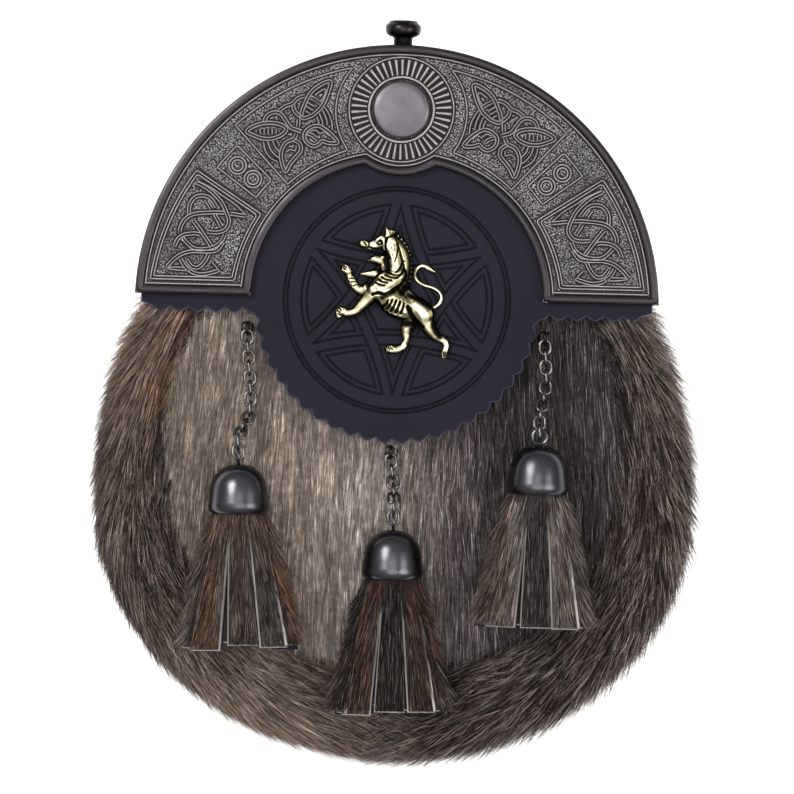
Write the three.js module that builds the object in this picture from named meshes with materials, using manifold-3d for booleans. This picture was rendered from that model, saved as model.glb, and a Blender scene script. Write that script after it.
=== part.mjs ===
// A dress sporran: a hollow fur-faced pouch lying on its back, with a cast metal cantle,
// a pinked leather flap, a lion badge and three chained fur tassels.
// Millimetres. +X is the wearer's left as seen from the front, +Y runs up to the knob, +Z is the front.
import * as THREE from 'three';
import { mergeVertices } from 'three/addons/utils/BufferGeometryUtils.js';
import Module from 'manifold-3d';

const wasm = await Module();
wasm.setup();

// Driving dimensions
const FIT_GAP = 0.3;

const POUCH = {
  archRadius: 81,        // upper half-moon of the hide wall
  archCentreY: 30.3,
  halfWidth: 99,         // widest place of the hide wall
  widestY: -37.3,
  upperReach: 117.5,     // half-height of the ellipse above the widest place
  lowerReach: 85.5,      // half-height of the ellipse below it
  wall: 2.5,
  rimZ: 33,              // front edge of the lower wall
  archRimZ: 38.3,        // front edge of the wall behind the flap
  crownZ: 35.5,          // middle of the bulged front
  mouthY: 36,            // lower lip of the mouth, behind the flap
  mouthBorder: 9,
};
const BACK = { thickness: 2.2, seam: 1.6 };
const FLAP = {
  backZ: 38.6, thickness: 2.2,
  archRadius: 89.3, lobeCentreY: 33, lobeRadius: 50.3,
  hemY: 27.2, sideX: 85.6,
  toothPitch: 6.4, toothDepth: 1.9,
};
const CANTLE = {
  radius: 91.7, centreY: 30.3, endY: 33.1,
  backZ: 41.1, groundZ: 43.3, rimZ: 45.3, reliefZ: 44.1,
  rimWidth: 2.9,
  openingRadius: 47.6, openingShift: 3.5,
  bossY: 99.3, bossLobe: 23.1,
  skirtWall: 1.8, skirtBackZ: 30,
};
const KNOB = {
  z: 36, headRadius: 6.3, headTopY: 131.1, headThickness: 6, stemRadius: 3.3,
  collarRadius: 4.6, collarThickness: 1.6, tipY: 107, bore: 3.65, travel: 3,
};
const FUR = { pile: 3.8, lock: 0.7, rollInner: 17.5, flapPressZ: 38.25 };
const LINK = { wire: 0.9, openLength: 4.0, openWidth: 2.8, rings: 10, sides: 5 };
const STAPLE = {
  wire: 1.2, loopRadius: 1.9, baseRadius: 2.7, baseThickness: 1, wellRadius: 3.4, topZ: 43.8, linkZ: 42.2,
};
const CAP = { radius: 10.85, height: 17.2, wall: 1.2, eyeRadius: 2.1, eyeWire: 1.1, sides: 14 };
const TASSEL = {
  headRadius: 8.6, headLength: 8, length: 47.5,
  strips: 8, stripWidth: 7.6, stripThickness: 2.2,
};
const BAIL = { wire: 2.4, width: 20, reach: 9.6, padRadius: 3, padThickness: 1, z: 16, angleDeg: 18 };

// Where each tassel lies: its chain's staple, the cap's eye, the tassel's lean and the number of links
const TASSELS = [
  { side: 'left', staple: [-52.1, 21.6], bend: [-50.6, -8], eye: [-53.8, -22.7], leanDeg: 2.0, links: 13 },
  { side: 'middle', staple: [-0.8, -20.6], bend: [0.2, -31], eye: [0.7, -44.3], leanDeg: 0.4, links: 7 },
  { side: 'right', staple: [52.2, 20.6], bend: [52.8, 4], eye: [50.9, -13.6], leanDeg: -0.4, links: 10 },
];
const CAP_AXIS_Z = 51.4;

// Panels of cast relief: distances and angles from the cantle's centre, the left half mirrored
const PANELS = [
  { name: 'upper', rIn: 57.4, rOut: 85, from: 49, to: 76.5, toInner: 73 },
  { name: 'dots', rIn: 62.3, rOut: 79.4, from: 37.7, to: 45.2, toInner: 45.2 },
  { name: 'lower', rIn: 57.4, rOut: 85, from: 8.6, to: 34.3, toInner: 34.3 },
];
const FRAME_LINE = 0.9;
const ARC_STEPS = 10;
const RIDGE = { halfWidth: 0.6, sink: 0.3 };
const BOSS = {
  disc: 10, discZ: 44.7, ring: 11.3, ringIn: 10.6,
  flutesIn: 12, flutesOut: 17.4, edge: 18.6, flutes: 44,
};

// Limbs of the lion: both ends in badge coordinates (x, y), their radii, and the height of each end's axis
const LION = { x: -0.2, y: 35.1, backZ: 41.1, flatten: 0.62 };
const LIMBS = [
  { limb: 'muzzle', from: [-11.6, 17.0], to: [-6.2, 17.2], r: [1.0, 2.0], rise: [1.2, 2.0] },
  { limb: 'jaw', from: [-8.4, 12.6], to: [-4.0, 14.2], r: [1.1, 1.9], rise: [1.0, 1.6] },
  { limb: 'skull', from: [-5.2, 17.6], to: [-0.6, 18.2], r: [2.6, 3.2], rise: [2.2, 2.2] },
  { limb: 'ear', from: [-2.2, 19.4], to: [-1.4, 22.0], r: [1.6, 0.7], rise: [2.0, 1.2] },
  { limb: 'mane_top', from: [0.6, 18.6], to: [4.6, 11.6], r: [2.9, 3.2], rise: [1.6, 1.8] },
  { limb: 'mane_low', from: [-1.6, 14.8], to: [1.4, 7.6], r: [3.0, 4.6], rise: [2.2, 2.8] },
  { limb: 'chest', from: [-3.2, 4.6], to: [1.6, 4.2], r: [4.6, 4.4], rise: [2.8, 2.4] },
  { limb: 'belly', from: [0.2, 1.6], to: [4.4, -4.0], r: [4.4, 3.4], rise: [2.4, 1.8] },
  { limb: 'rump', from: [5.6, -4.4], to: [10.4, -6.4], r: [3.6, 3.9], rise: [2.0, 2.4] },
  { limb: 'raised_arm', from: [-7.0, 2.4], to: [-12.8, 2.0], r: [2.4, 1.7], rise: [2.0, 1.6] },
  { limb: 'raised_wrist', from: [-12.8, 2.0], to: [-15.8, 6.8], r: [1.6, 1.4], rise: [1.6, 1.6] },
  { limb: 'raised_paw', from: [-16.0, 7.2], to: [-16.8, 8.8], r: [1.8, 1.5], rise: [1.6, 1.4] },
  { limb: 'chest_tuft', from: [-4.6, 5.4], to: [-11.0, 6.2], r: [2.0, 0.8], rise: [1.8, 0.9] },
  { limb: 'low_arm', from: [-6.0, 0.6], to: [-12.2, -4.8], r: [2.6, 1.6], rise: [2.2, 1.6] },
  { limb: 'low_paw', from: [-12.2, -4.8], to: [-18.0, -6.8], r: [1.5, 1.9], rise: [1.4, 1.4] },
  { limb: 'near_thigh', from: [9.8, -7.2], to: [13.0, -13.2], r: [3.7, 1.9], rise: [2.6, 1.6] },
  { limb: 'near_shank', from: [13.0, -13.2], to: [18.0, -16.2], r: [1.8, 1.4], rise: [1.5, 1.3] },
  { limb: 'near_foot', from: [18.0, -16.2], to: [17.4, -21.4], r: [1.4, 1.1], rise: [1.2, 1.0] },
  { limb: 'far_thigh', from: [5.4, -7.0], to: [5.2, -14.6], r: [2.6, 1.3], rise: [1.6, 1.2] },
  { limb: 'far_shank', from: [5.2, -14.6], to: [3.0, -18.6], r: [1.2, 1.2], rise: [1.2, 1.2] },
  { limb: 'far_foot', from: [3.0, -18.6], to: [-1.4, -20.0], r: [1.2, 1.7], rise: [1.2, 1.2] },
  { limb: 'tail_root', from: [11.0, -5.2], to: [16.6, -2.2], r: [1.1, 0.9], rise: [1.2, 1.0] },
  { limb: 'tail_turn', from: [16.6, -2.2], to: [15.2, 1.2], r: [0.9, 0.9], rise: [1.0, 1.0] },
  { limb: 'tail_back', from: [15.2, 1.2], to: [9.2, 3.2], r: [0.9, 0.9], rise: [1.0, 1.0] },
  { limb: 'tail_rise', from: [9.2, 3.2], to: [7.4, 6.6], r: [0.9, 0.9], rise: [1.0, 1.0] },
  { limb: 'tail_top', from: [7.4, 6.6], to: [9.6, 9.0], r: [0.9, 1.0], rise: [1.0, 1.0] },
  { limb: 'tail_tuft', from: [9.6, 9.0], to: [13.8, 7.4], r: [1.3, 0.6], rise: [0.9, 0.8] },
];

// Materials
function paint(color, roughness, metalness) {
  return new THREE.MeshStandardMaterial({ color, roughness, metalness });
}
const MATERIALS = {
  pewter: paint(0x77767a, 0.45, 1),
  gunmetal: paint(0x3d3d42, 0.25, 1),
  brass: paint(0xb9a969, 0.3, 1),
  steel: paint(0x8a8988, 0.3, 1),
  blackLeather: paint(0x201f2b, 0.6, 0),
  hide: paint(0x6b6258, 0.8, 0),
  paleFur: paint(0x8d8376, 0.9, 0),
  darkFur: paint(0x55473e, 0.9, 0),
  blackIron: paint(0x151416, 0.4, 0.6),
};

// Solids and meshes

function solidFrom(geometry) {
  const bare = geometry.clone();
  bare.deleteAttribute('normal');
  bare.deleteAttribute('uv');
  const merged = mergeVertices(bare, 1e-4);
  return new wasm.Manifold(new wasm.Mesh({
    numProp: 3,
    vertProperties: new Float32Array(merged.attributes.position.array),
    triVerts: new Uint32Array(merged.index.array),
  }));
}

function geometryFrom(solid) {
  const made = solid.getMesh();
  const geometry = new THREE.BufferGeometry();
  geometry.setAttribute('position', new THREE.BufferAttribute(new Float32Array(made.vertProperties), 3));
  geometry.setIndex(new THREE.BufferAttribute(new Uint32Array(made.triVerts), 1));
  geometry.computeVertexNormals();
  return geometry;
}

const joined = (solids) => solids.reduce((sum, next) => sum.add(next));

function node(name, shape, material) {
  const geometry = shape.isBufferGeometry ? shape : geometryFrom(shape);
  const mesh = new THREE.Mesh(geometry, material);
  mesh.name = name;
  return mesh;
}

// A closed skin over rings of points with the same count, each end closed by a fan
function loft(rings) {
  const points = [];
  const faces = [];
  const count = rings[0].length;
  rings.forEach((ring) => points.push(...ring));
  for (let i = 0; i + 1 < rings.length; i++) {
    for (let j = 0; j < count; j++) {
      const a = i * count + j;
      const b = i * count + (j + 1) % count;
      faces.push(a, b, b + count, a, b + count, a + count);
    }
  }
  const closeEnd = (start, flip) => {
    const centre = new THREE.Vector3();
    for (let j = 0; j < count; j++) centre.add(points[start + j]);
    points.push(centre.divideScalar(count));
    for (let j = 0; j < count; j++) {
      const edge = [start + j, start + (j + 1) % count];
      faces.push(points.length - 1, ...(flip ? edge.reverse() : edge));
    }
  };
  closeEnd(0, true);
  closeEnd((rings.length - 1) * count, false);
  const geometry = new THREE.BufferGeometry().setFromPoints(points);
  geometry.setIndex(faces);
  return geometry;
}

function slab(shape, fromZ, toZ, curveSegments = 12) {
  const options = { depth: toZ - fromZ, bevelEnabled: false, curveSegments };
  const geometry = new THREE.ExtrudeGeometry(shape, options);
  return geometry.translate(0, 0, fromZ);
}

function smoothStep(from, to, value) {
  return THREE.MathUtils.smoothstep(value, from, to);
}

// Outline of the hide wall

// A point of the wall's outline, grown outwards by `grow`. Turn 0 is on +X, and turn 0.25 is at the top.
function outlinePoint(turn, grow = 0) {
  const angle = turn * Math.PI * 2;
  const { archRadius, archCentreY, halfWidth, widestY, upperReach, lowerReach } = POUCH;
  if (Math.sin(angle) >= 0) {
    const radius = archRadius + grow;
    return new THREE.Vector2(radius * Math.cos(angle), archCentreY + radius * Math.sin(angle));
  }
  // Below the arch the angle is spread over the two joined ellipses.
  const start = Math.asin((archCentreY - widestY) / upperReach);
  const sweep = (turn - 0.5) * 2;
  const round = Math.PI - start + sweep * (Math.PI + 2 * start);
  const reach = Math.sin(round) > 0 ? upperReach : lowerReach;
  const x = (halfWidth + grow) * Math.cos(round);
  return new THREE.Vector2(x, widestY + (reach + grow) * Math.sin(round));
}

function outlineShape(steps, grow) {
  const turns = Array.from({ length: steps }, (_, i) => i / steps);
  return new THREE.Shape(turns.map((turn) => outlinePoint(turn, grow)));
}

// How far out a point lies: 0 at the middle of the front, 1 on the wall's outline
function outwardShare(x, y) {
  const reach = y > POUCH.widestY ? POUCH.upperReach + 12 : POUCH.lowerReach;
  return Math.hypot(x / POUCH.halfWidth, (y - POUCH.widestY) / reach);
}

function hideZ(x, y) {
  const share = Math.min(1, outwardShare(x, y));
  return POUCH.rimZ + (POUCH.crownZ - POUCH.rimZ) * (1 - share * share);
}

// Pouch

// The bulged body, grown outwards by `grow` on its sides and front
function puffedSolid(grow, fromZ) {
  const steps = 24;
  const edge = POUCH.rimZ + grow;
  const levels = [
    { inset: 0, z: () => fromZ },
    { inset: 0, z: () => edge - 4 },
    { inset: 3.5, z: () => edge },
    { inset: 16, z: (p) => hideZ(p.x, p.y) + grow },
  ];
  const rings = levels.map(({ inset, z }) => Array.from({ length: steps }, (_, i) => {
    const p = outlinePoint(i / steps, grow - inset);
    return new THREE.Vector3(p.x, p.y, z(p));
  }));
  const shoulder = rings[rings.length - 1];
  [0.45].forEach((share) => rings.push(shoulder.map((p) => {
    const x = p.x * share;
    const y = (p.y - POUCH.widestY) * share + POUCH.widestY;
    return new THREE.Vector3(x, y, hideZ(x, y) + grow);
  })));
  return solidFrom(loft(rings));
}

// The wall carries on forwards round the arch, up to the flap
function archWall(grow) {
  const steps = 12;
  const turns = Array.from({ length: steps + 1 }, (_, i) => i / steps / 2);
  const shape = new THREE.Shape([
    ...turns.map((turn) => outlinePoint(turn, grow)),
    ...turns.reverse().map((turn) => outlinePoint(turn, -POUCH.wall - grow)),
  ]);
  return solidFrom(slab(shape, POUCH.rimZ - 7, POUCH.archRimZ + grow));
}

const filledPouch = (grow) => puffedSolid(grow, -1).add(archWall(grow));

function pouchShell() {
  const outer = puffedSolid(0, BACK.thickness + FIT_GAP).add(archWall(0));
  const mouthRadius = POUCH.archRadius - POUCH.mouthBorder;
  const cornerAngle = Math.asin((POUCH.mouthY - POUCH.archCentreY) / mouthRadius);
  const mouthShape = new THREE.Shape();
  mouthShape.absarc(0, POUCH.archCentreY, mouthRadius, cornerAngle, Math.PI - cornerAngle);
  const mouth = solidFrom(slab(mouthShape, POUCH.rimZ - 8, POUCH.archRimZ + 5, 8));
  const notchWidth = 2 * KNOB.collarRadius + 2;
  const notch = new THREE.BoxGeometry(notchWidth, 20, 20);
  notch.translate(0, POUCH.archCentreY + POUCH.archRadius, KNOB.z + 10 - notchWidth / 2);
  return outer.subtract(puffedSolid(-POUCH.wall, -1)).subtract(mouth).subtract(solidFrom(notch));
}

function backPanel() {
  return slab(outlineShape(48, BACK.seam), 0, BACK.thickness);
}

// Fur

// Places round the outline at which the rolled border has a section, from end to end below the arch
function borderTurns() {
  const steps = 30;
  const overrun = 0.018;
  return Array.from({ length: steps + 1 }, (_, i) => {
    return THREE.MathUtils.lerp(0.5 - overrun, 1 + overrun, i / steps) % 1;
  });
}

// Half-width of the pale front coat at a height, before the rolled border trims it
function coatHalfWidth(y) {
  const grow = 1 - FUR.rollInner;
  const reach = (y > POUCH.widestY ? POUCH.upperReach : POUCH.lowerReach) + grow;
  const rise = (y - POUCH.widestY) / reach;
  return (POUCH.halfWidth + grow) * Math.sqrt(Math.max(0, 1 - rise * rise));
}

// The space that the flap takes up, with room round its edge
function flapSpace() {
  const room = 2.5;
  const radius = FLAP.lobeRadius + room;
  const lobe = new THREE.CylinderGeometry(radius, radius, 30, 20).rotateX(Math.PI / 2);
  const top = new THREE.BoxGeometry(220, 120, 30);
  return solidFrom(lobe.translate(0, FLAP.lobeCentreY, FUR.flapPressZ + 15))
    .add(solidFrom(top.translate(0, FLAP.hemY - room + 60, FUR.flapPressZ + 15)));
}

// Rows of locks lie down the front, each lock's tip lifted and its neighbours' roots between
function frontCoat() {
  const rows = 10;
  const columns = 8;
  const topY = 30;
  const lowY = POUCH.widestY - POUCH.lowerReach + FUR.rollInner + 2;
  const rowStep = (topY - lowY) / rows;
  const grid = [];
  for (let i = 0; i <= rows; i++) {
    const y = topY - i * rowStep;
    const half = coatHalfWidth(y);
    const row = [];
    for (let j = 0; j <= columns; j++) {
      const x = half * (2 * j / columns - 1);
      const tip = (i + j) % 2 === 0;
      const hang = tip && i < rows ? -0.35 * rowStep : 0;
      row.push({ x, y: y + hang, top: hideZ(x, y) + FUR.pile + (tip ? FUR.lock : -FUR.lock) });
    }
    grid.push(row);
  }
  const inside = borderTurns().map((turn) => outlinePoint(turn, -FUR.rollInner - FIT_GAP));
  const coat = sheetSolid(grid, () => POUCH.rimZ - 3)
    .intersect(solidFrom(slab(new THREE.Shape(inside), 0, 60)))
    .subtract(filledPouch(FIT_GAP)).subtract(flapSpace());
  return TASSELS.reduce((sum, { staple }) => {
    const well = new THREE.CylinderGeometry(STAPLE.wellRadius, STAPLE.wellRadius, 20, 10);
    well.rotateX(Math.PI / 2).translate(staple[0], staple[1], POUCH.crownZ);
    return sum.subtract(solidFrom(well));
  }, coat);
}

// A closed sheet between a grid's own heights and a backing surface
function sheetSolid(grid, backZ) {
  const columns = grid[0].length;
  const flat = grid.flat();
  const points = [
    ...flat.map((p) => new THREE.Vector3(p.x, p.y, p.top)),
    ...flat.map((p) => new THREE.Vector3(p.x, p.y, backZ(p))),
  ];
  const under = flat.length;
  const faces = [];
  const quad = (a, b, c, d) => faces.push(a, b, c, a, c, d);
  for (let i = 0; i + 1 < grid.length; i++) {
    for (let j = 0; j + 1 < columns; j++) {
      const a = i * columns + j;
      quad(a, a + columns, a + columns + 1, a + 1);
      quad(under + a + 1, under + a + columns + 1, under + a + columns, under + a);
    }
  }
  const last = (grid.length - 1) * columns;
  for (let j = 0; j + 1 < columns; j++) {
    quad(j, j + 1, under + j + 1, under + j);
    quad(last + j + 1, last + j, under + last + j, under + last + j + 1);
  }
  for (let i = 0; i + 1 < grid.length; i++) {
    const a = i * columns;
    const b = a + columns - 1;
    quad(a + columns, a, under + a, under + a + columns);
    quad(b, b + columns, under + b + columns, under + b);
  }
  const geometry = new THREE.BufferGeometry().setFromPoints(points);
  geometry.setIndex(faces);
  return solidFrom(geometry);
}

// Section of the rolled border: n is outwards from the wall, lock says how far its locks stand
const ROLL_SECTION = [
  { n: -2, z: 4, lock: 0 },
  { n: 4.5, z: 4.5, lock: 0.5 },
  { n: 7.6, z: 11, lock: 1 },
  { n: 8, z: 19, lock: 1 },
  { n: 6.4, z: 28, lock: 1 },
  { n: 2, z: 36, lock: 1 },
  { n: -5, z: 40, lock: 1 },
  { n: -12.5, z: 39, lock: 0.8 },
  { n: -17.5, z: 36.4, lock: 0 },
  { n: -17.5, z: 30, lock: 0 },
  { n: -2, z: 28, lock: 0 },
];

function rolledBorder() {
  const turns = borderTurns();
  const rings = turns.map((turn, i) => {
    const fade = smoothStep(0, 5, Math.min(i, turns.length - 1 - i));
    return ROLL_SECTION.map(({ n, z, lock }, j) => {
      const stand = lock * FUR.lock * ((i + j) % 2 === 0 ? 1 : -1);
      const out = n > 2.5 ? n * (0.6 + 0.4 * fade) + stand : n;
      const p = outlinePoint(turn, out);
      return new THREE.Vector3(p.x, p.y, lock > 0 && n < 2.5 ? z + stand : z);
    });
  });
  return solidFrom(loft(rings.reverse())).subtract(filledPouch(FIT_GAP)).subtract(flapSpace());
}

// Flap

// Teeth along a run of points: every other point is drawn back by the tooth's depth
function flapShape() {
  const { lobeRadius, lobeCentreY, hemY, sideX, toothPitch, toothDepth, archRadius } = FLAP;
  const points = [];
  const cornerAngle = Math.asin((hemY - lobeCentreY) / lobeRadius);
  const cornerX = lobeRadius * Math.cos(cornerAngle);
  const hemTeeth = Math.round((sideX - cornerX) / toothPitch);
  const lobeSweep = Math.PI + 2 * cornerAngle;
  const lobeTeeth = Math.round(lobeSweep * lobeRadius / toothPitch);
  for (let i = 0; i < 2 * hemTeeth; i++) {
    const x = THREE.MathUtils.lerp(-sideX, -cornerX, i / (2 * hemTeeth));
    points.push(new THREE.Vector2(x, hemY + (i % 2) * toothDepth));
  }
  for (let i = 0; i <= 2 * lobeTeeth; i++) {
    const angle = Math.PI - cornerAngle + lobeSweep * (i / (2 * lobeTeeth));
    const radius = lobeRadius - (i % 2) * toothDepth;
    points.push(new THREE.Vector2(radius * Math.cos(angle), lobeCentreY + radius * Math.sin(angle)));
  }
  for (let i = 2 * hemTeeth - 1; i >= 0; i--) {
    const x = THREE.MathUtils.lerp(sideX, cornerX, i / (2 * hemTeeth));
    points.push(new THREE.Vector2(x, hemY + (i % 2) * toothDepth));
  }
  const archStart = Math.acos(sideX / archRadius);
  const archSteps = 22;
  for (let i = 0; i <= archSteps; i++) {
    const angle = THREE.MathUtils.lerp(archStart, Math.PI - archStart, i / archSteps);
    const y = CANTLE.centreY + archRadius * Math.sin(angle);
    points.push(new THREE.Vector2(archRadius * Math.cos(angle), y));
  }
  return new THREE.Shape(points);
}

function flap() {
  const leather = solidFrom(slab(flapShape(), FLAP.backZ, FLAP.backZ + FLAP.thickness));
  const slotFoot = KNOB.tipY - KNOB.travel - 2;
  const slot = new THREE.BoxGeometry(2 * KNOB.collarRadius + 1.4, 40, 12);
  return leather.subtract(solidFrom(slot.translate(0, slotFoot + 20, KNOB.z)));
}

// Cantle

// Outline of the cantle drawn in by `inset` all round
function cantleShape(inset) {
  const { radius, centreY, endY, openingRadius, openingShift, bossY, bossLobe } = CANTLE;
  const outer = radius - inset;
  const base = endY + inset;
  const opening = openingRadius + inset;
  const lobe = bossLobe - inset;
  const outerAngle = Math.asin((base - centreY) / outer);
  const baseAngle = Math.asin((base - endY) / opening);
  const toBoss = new THREE.Vector2(-openingShift, bossY - endY);
  const span = toBoss.length();
  const along = (span * span + opening * opening - lobe * lobe) / (2 * span);
  const aside = Math.sqrt(opening * opening - along * along);
  const axis = toBoss.clone().normalize();
  const cusp = new THREE.Vector2(
    openingShift + axis.x * along + axis.y * aside,
    endY + axis.y * along - axis.x * aside,
  );
  const cuspFromOpening = Math.atan2(cusp.y - endY, cusp.x - openingShift);
  const cuspFromBoss = Math.atan2(cusp.y - bossY, cusp.x);
  const shape = new THREE.Shape();
  shape.absarc(0, centreY, outer, outerAngle, Math.PI - outerAngle, false);
  shape.absarc(-openingShift, endY, opening, Math.PI - baseAngle, Math.PI - cuspFromOpening, true);
  shape.absarc(0, bossY, lobe, -Math.PI - cuspFromBoss, cuspFromBoss, false);
  shape.absarc(openingShift, endY, opening, cuspFromOpening, baseAngle, true);
  return shape;
}

function band(outerInset, innerInset, fromZ, toZ) {
  const shape = cantleShape(outerInset);
  shape.holes.push(new THREE.Path(cantleShape(innerInset).getPoints(ARC_STEPS)));
  return solidFrom(slab(shape, fromZ, toZ, ARC_STEPS));
}

function annulus(inner, outer, fromZ, toZ, segments) {
  const shape = new THREE.Shape().absarc(0, 0, outer, 0, Math.PI * 2);
  if (inner > 0) shape.holes.push(new THREE.Path().absarc(0, 0, inner, 0, Math.PI * 2));
  return slab(shape, fromZ, toZ, segments);
}

// A point of a panel by its share across in angle and in distance; the upper panel ends round the boss
function panelPoint(panel, across, out) {
  const end = THREE.MathUtils.lerp(panel.toInner, panel.to, out);
  const angle = THREE.MathUtils.degToRad(THREE.MathUtils.lerp(panel.from, end, across));
  const radius = THREE.MathUtils.lerp(panel.rIn, panel.rOut, out);
  return new THREE.Vector2(radius * Math.cos(angle), CANTLE.centreY + radius * Math.sin(angle));
}

function panelOutline(panel, margin) {
  const wide = THREE.MathUtils.degToRad(panel.to - panel.from) * (panel.rIn + panel.rOut) / 2;
  const a = margin / wide;
  const b = margin / (panel.rOut - panel.rIn);
  const steps = panel.name === 'dots' ? 1 : 3;
  const shares = Array.from({ length: steps + 1 }, (_, i) => THREE.MathUtils.lerp(a, 1 - a, i / steps));
  return [
    ...shares.map((share) => panelPoint(panel, share, 1 - b)),
    ...shares.reverse().map((share) => panelPoint(panel, share, b)),
  ];
}

function panelFrame(panel) {
  const shape = new THREE.Shape(panelOutline(panel, 0));
  shape.holes.push(new THREE.Path(panelOutline(panel, FRAME_LINE)));
  return solidFrom(slab(shape, CANTLE.groundZ - RIDGE.sink, CANTLE.reliefZ));
}

// A ridge of triangular section along a flat path
function ridge(path) {
  const base = CANTLE.groundZ - RIDGE.sink;
  return solidFrom(loft(path.map((p, i) => {
    const before = path[Math.max(0, i - 1)];
    const after = path[Math.min(path.length - 1, i + 1)];
    const side = new THREE.Vector2(after.y - before.y, before.x - after.x).setLength(RIDGE.halfWidth);
    return [
      new THREE.Vector3(p.x - side.x, p.y - side.y, base),
      new THREE.Vector3(p.x, p.y, CANTLE.reliefZ),
      new THREE.Vector3(p.x + side.x, p.y + side.y, base),
    ];
  })));
}

// Knots in panel coordinates: u runs along the band, v outwards
const PETALS = [
  { turnDeg: 61.5, length: 17.6, halfWidth: 3.6 },
  { turnDeg: -61.5, length: 17.6, halfWidth: 3.6 },
  { turnDeg: 132.5, length: 12.6, halfWidth: 3.2 },
  { turnDeg: -132.5, length: 12.6, halfWidth: 3.2 },
];
const UPPER_KNOT = { r: 69.7, angleDeg: 61.3, stepsPerSide: 3 };
const LOWER_KNOT = { r: 71.4, angleDeg: 23, halfLength: 14.5, halfWidth: 6.5, steps: 11 };

function onBand(r, angleDeg, u, v) {
  const angle = THREE.MathUtils.degToRad(angleDeg);
  const out = new THREE.Vector2(Math.cos(angle), Math.sin(angle));
  return new THREE.Vector2(
    out.x * (r + v) - out.y * u,
    CANTLE.centreY + out.y * (r + v) + out.x * u,
  );
}

function upperKnot() {
  return PETALS.flatMap(({ turnDeg, length, halfWidth }) => [1, -1].map((way) => {
    const turn = THREE.MathUtils.degToRad(turnDeg);
    const steps = UPPER_KNOT.stepsPerSide;
    const side = Array.from({ length: steps + 1 }, (_, i) => {
      const far = length * (i / steps);
      const wide = way * halfWidth * Math.sin(Math.PI * (i / steps));
      const u = -far * Math.sin(turn) + wide * Math.cos(turn);
      const v = far * Math.cos(turn) + wide * Math.sin(turn);
      return onBand(UPPER_KNOT.r, UPPER_KNOT.angleDeg, u, v);
    });
    return ridge(side);
  }));
}

function lowerKnot() {
  return [1, -1].map((way) => {
    const { r, angleDeg, halfLength, halfWidth, steps } = LOWER_KNOT;
    const strand = Array.from({ length: steps + 1 }, (_, i) => {
      const t = i / steps;
      const u = halfLength * Math.cos(Math.PI * t);
      const v = way * halfWidth * Math.sin(3 * Math.PI * t);
      return onBand(r, angleDeg, u, v);
    });
    return ridge(strand);
  });
}

function dotRings() {
  const panel = PANELS.find(({ name }) => name === 'dots');
  return [0.29, 0.71].map((out) => {
    const p = panelPoint(panel, 0.5, out);
    const ring = annulus(1.7, 2.9, CANTLE.groundZ - RIDGE.sink, CANTLE.reliefZ, 3);
    return solidFrom(ring.translate(p.x, p.y, 0));
  });
}

// A ring pleated into flutes, high and low by turns
function flutedRing(base) {
  const count = 2 * BOSS.flutes;
  const radii = [BOSS.flutesIn, BOSS.flutesOut + 0.3];
  const points = [];
  const faces = [];
  for (let i = 0; i < count; i++) {
    const angle = i / count * Math.PI * 2;
    const top = i % 2 === 0 ? CANTLE.reliefZ : CANTLE.groundZ + 0.05;
    radii.forEach((r) => [top, base].forEach((z) => {
      points.push(new THREE.Vector3(r * Math.cos(angle), r * Math.sin(angle), z));
    }));
    const [inTop, inLow, outTop, outLow] = [0, 1, 2, 3].map((k) => 4 * i + k);
    const [inTop2, inLow2, outTop2, outLow2] = [0, 1, 2, 3].map((k) => 4 * ((i + 1) % count) + k);
    faces.push(inTop, outTop, outTop2, inTop, outTop2, inTop2);
    faces.push(inLow, outLow2, outLow, inLow, inLow2, outLow2);
    faces.push(inLow, inTop, inTop2, inLow, inTop2, inLow2);
    faces.push(outTop, outLow, outLow2, outTop, outLow2, outTop2);
  }
  const geometry = new THREE.BufferGeometry().setFromPoints(points);
  geometry.setIndex(faces);
  return solidFrom(geometry);
}

function boss() {
  const base = CANTLE.groundZ - RIDGE.sink;
  return joined([
    solidFrom(annulus(0, BOSS.disc, base, BOSS.discZ, 10)),
    solidFrom(annulus(BOSS.ringIn, BOSS.ring, base, CANTLE.reliefZ, 10)),
    solidFrom(annulus(BOSS.flutesOut, BOSS.edge, base, CANTLE.reliefZ, 11)),
    flutedRing(base),
  ]).translate([0, CANTLE.bossY, 0]);
}

function cantleSkirt() {
  const { radius, centreY, endY, skirtWall, skirtBackZ, backZ } = CANTLE;
  const start = Math.asin((endY - centreY) / radius);
  const shape = new THREE.Shape();
  shape.absarc(0, centreY, radius, start, Math.PI - start, false);
  shape.absarc(0, centreY, radius - skirtWall, Math.PI - start, start, true);
  return solidFrom(slab(shape, skirtBackZ, backZ + 1, ARC_STEPS));
}

function cantle() {
  const plate = solidFrom(slab(cantleShape(0), CANTLE.backZ, CANTLE.groundZ, ARC_STEPS));
  const mirrored = (solid) => [solid, solid.mirror([1, 0, 0])];
  const relief = [
    ...PANELS.map(panelFrame), ...dotRings(), ...upperKnot(), ...lowerKnot(),
  ].flatMap(mirrored);
  const rim = band(0, CANTLE.rimWidth, CANTLE.groundZ - RIDGE.sink, CANTLE.rimZ);
  const bore = new THREE.CylinderGeometry(KNOB.bore, KNOB.bore, 12, 16);
  const body = joined([plate, cantleSkirt(), rim, boss(), ...relief]);
  return body.subtract(solidFrom(bore.translate(0, CANTLE.centreY + CANTLE.radius, KNOB.z)));
}

// Catch knob: a mushroom head on a stem, with a collar inside the cantle's skirt

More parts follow.
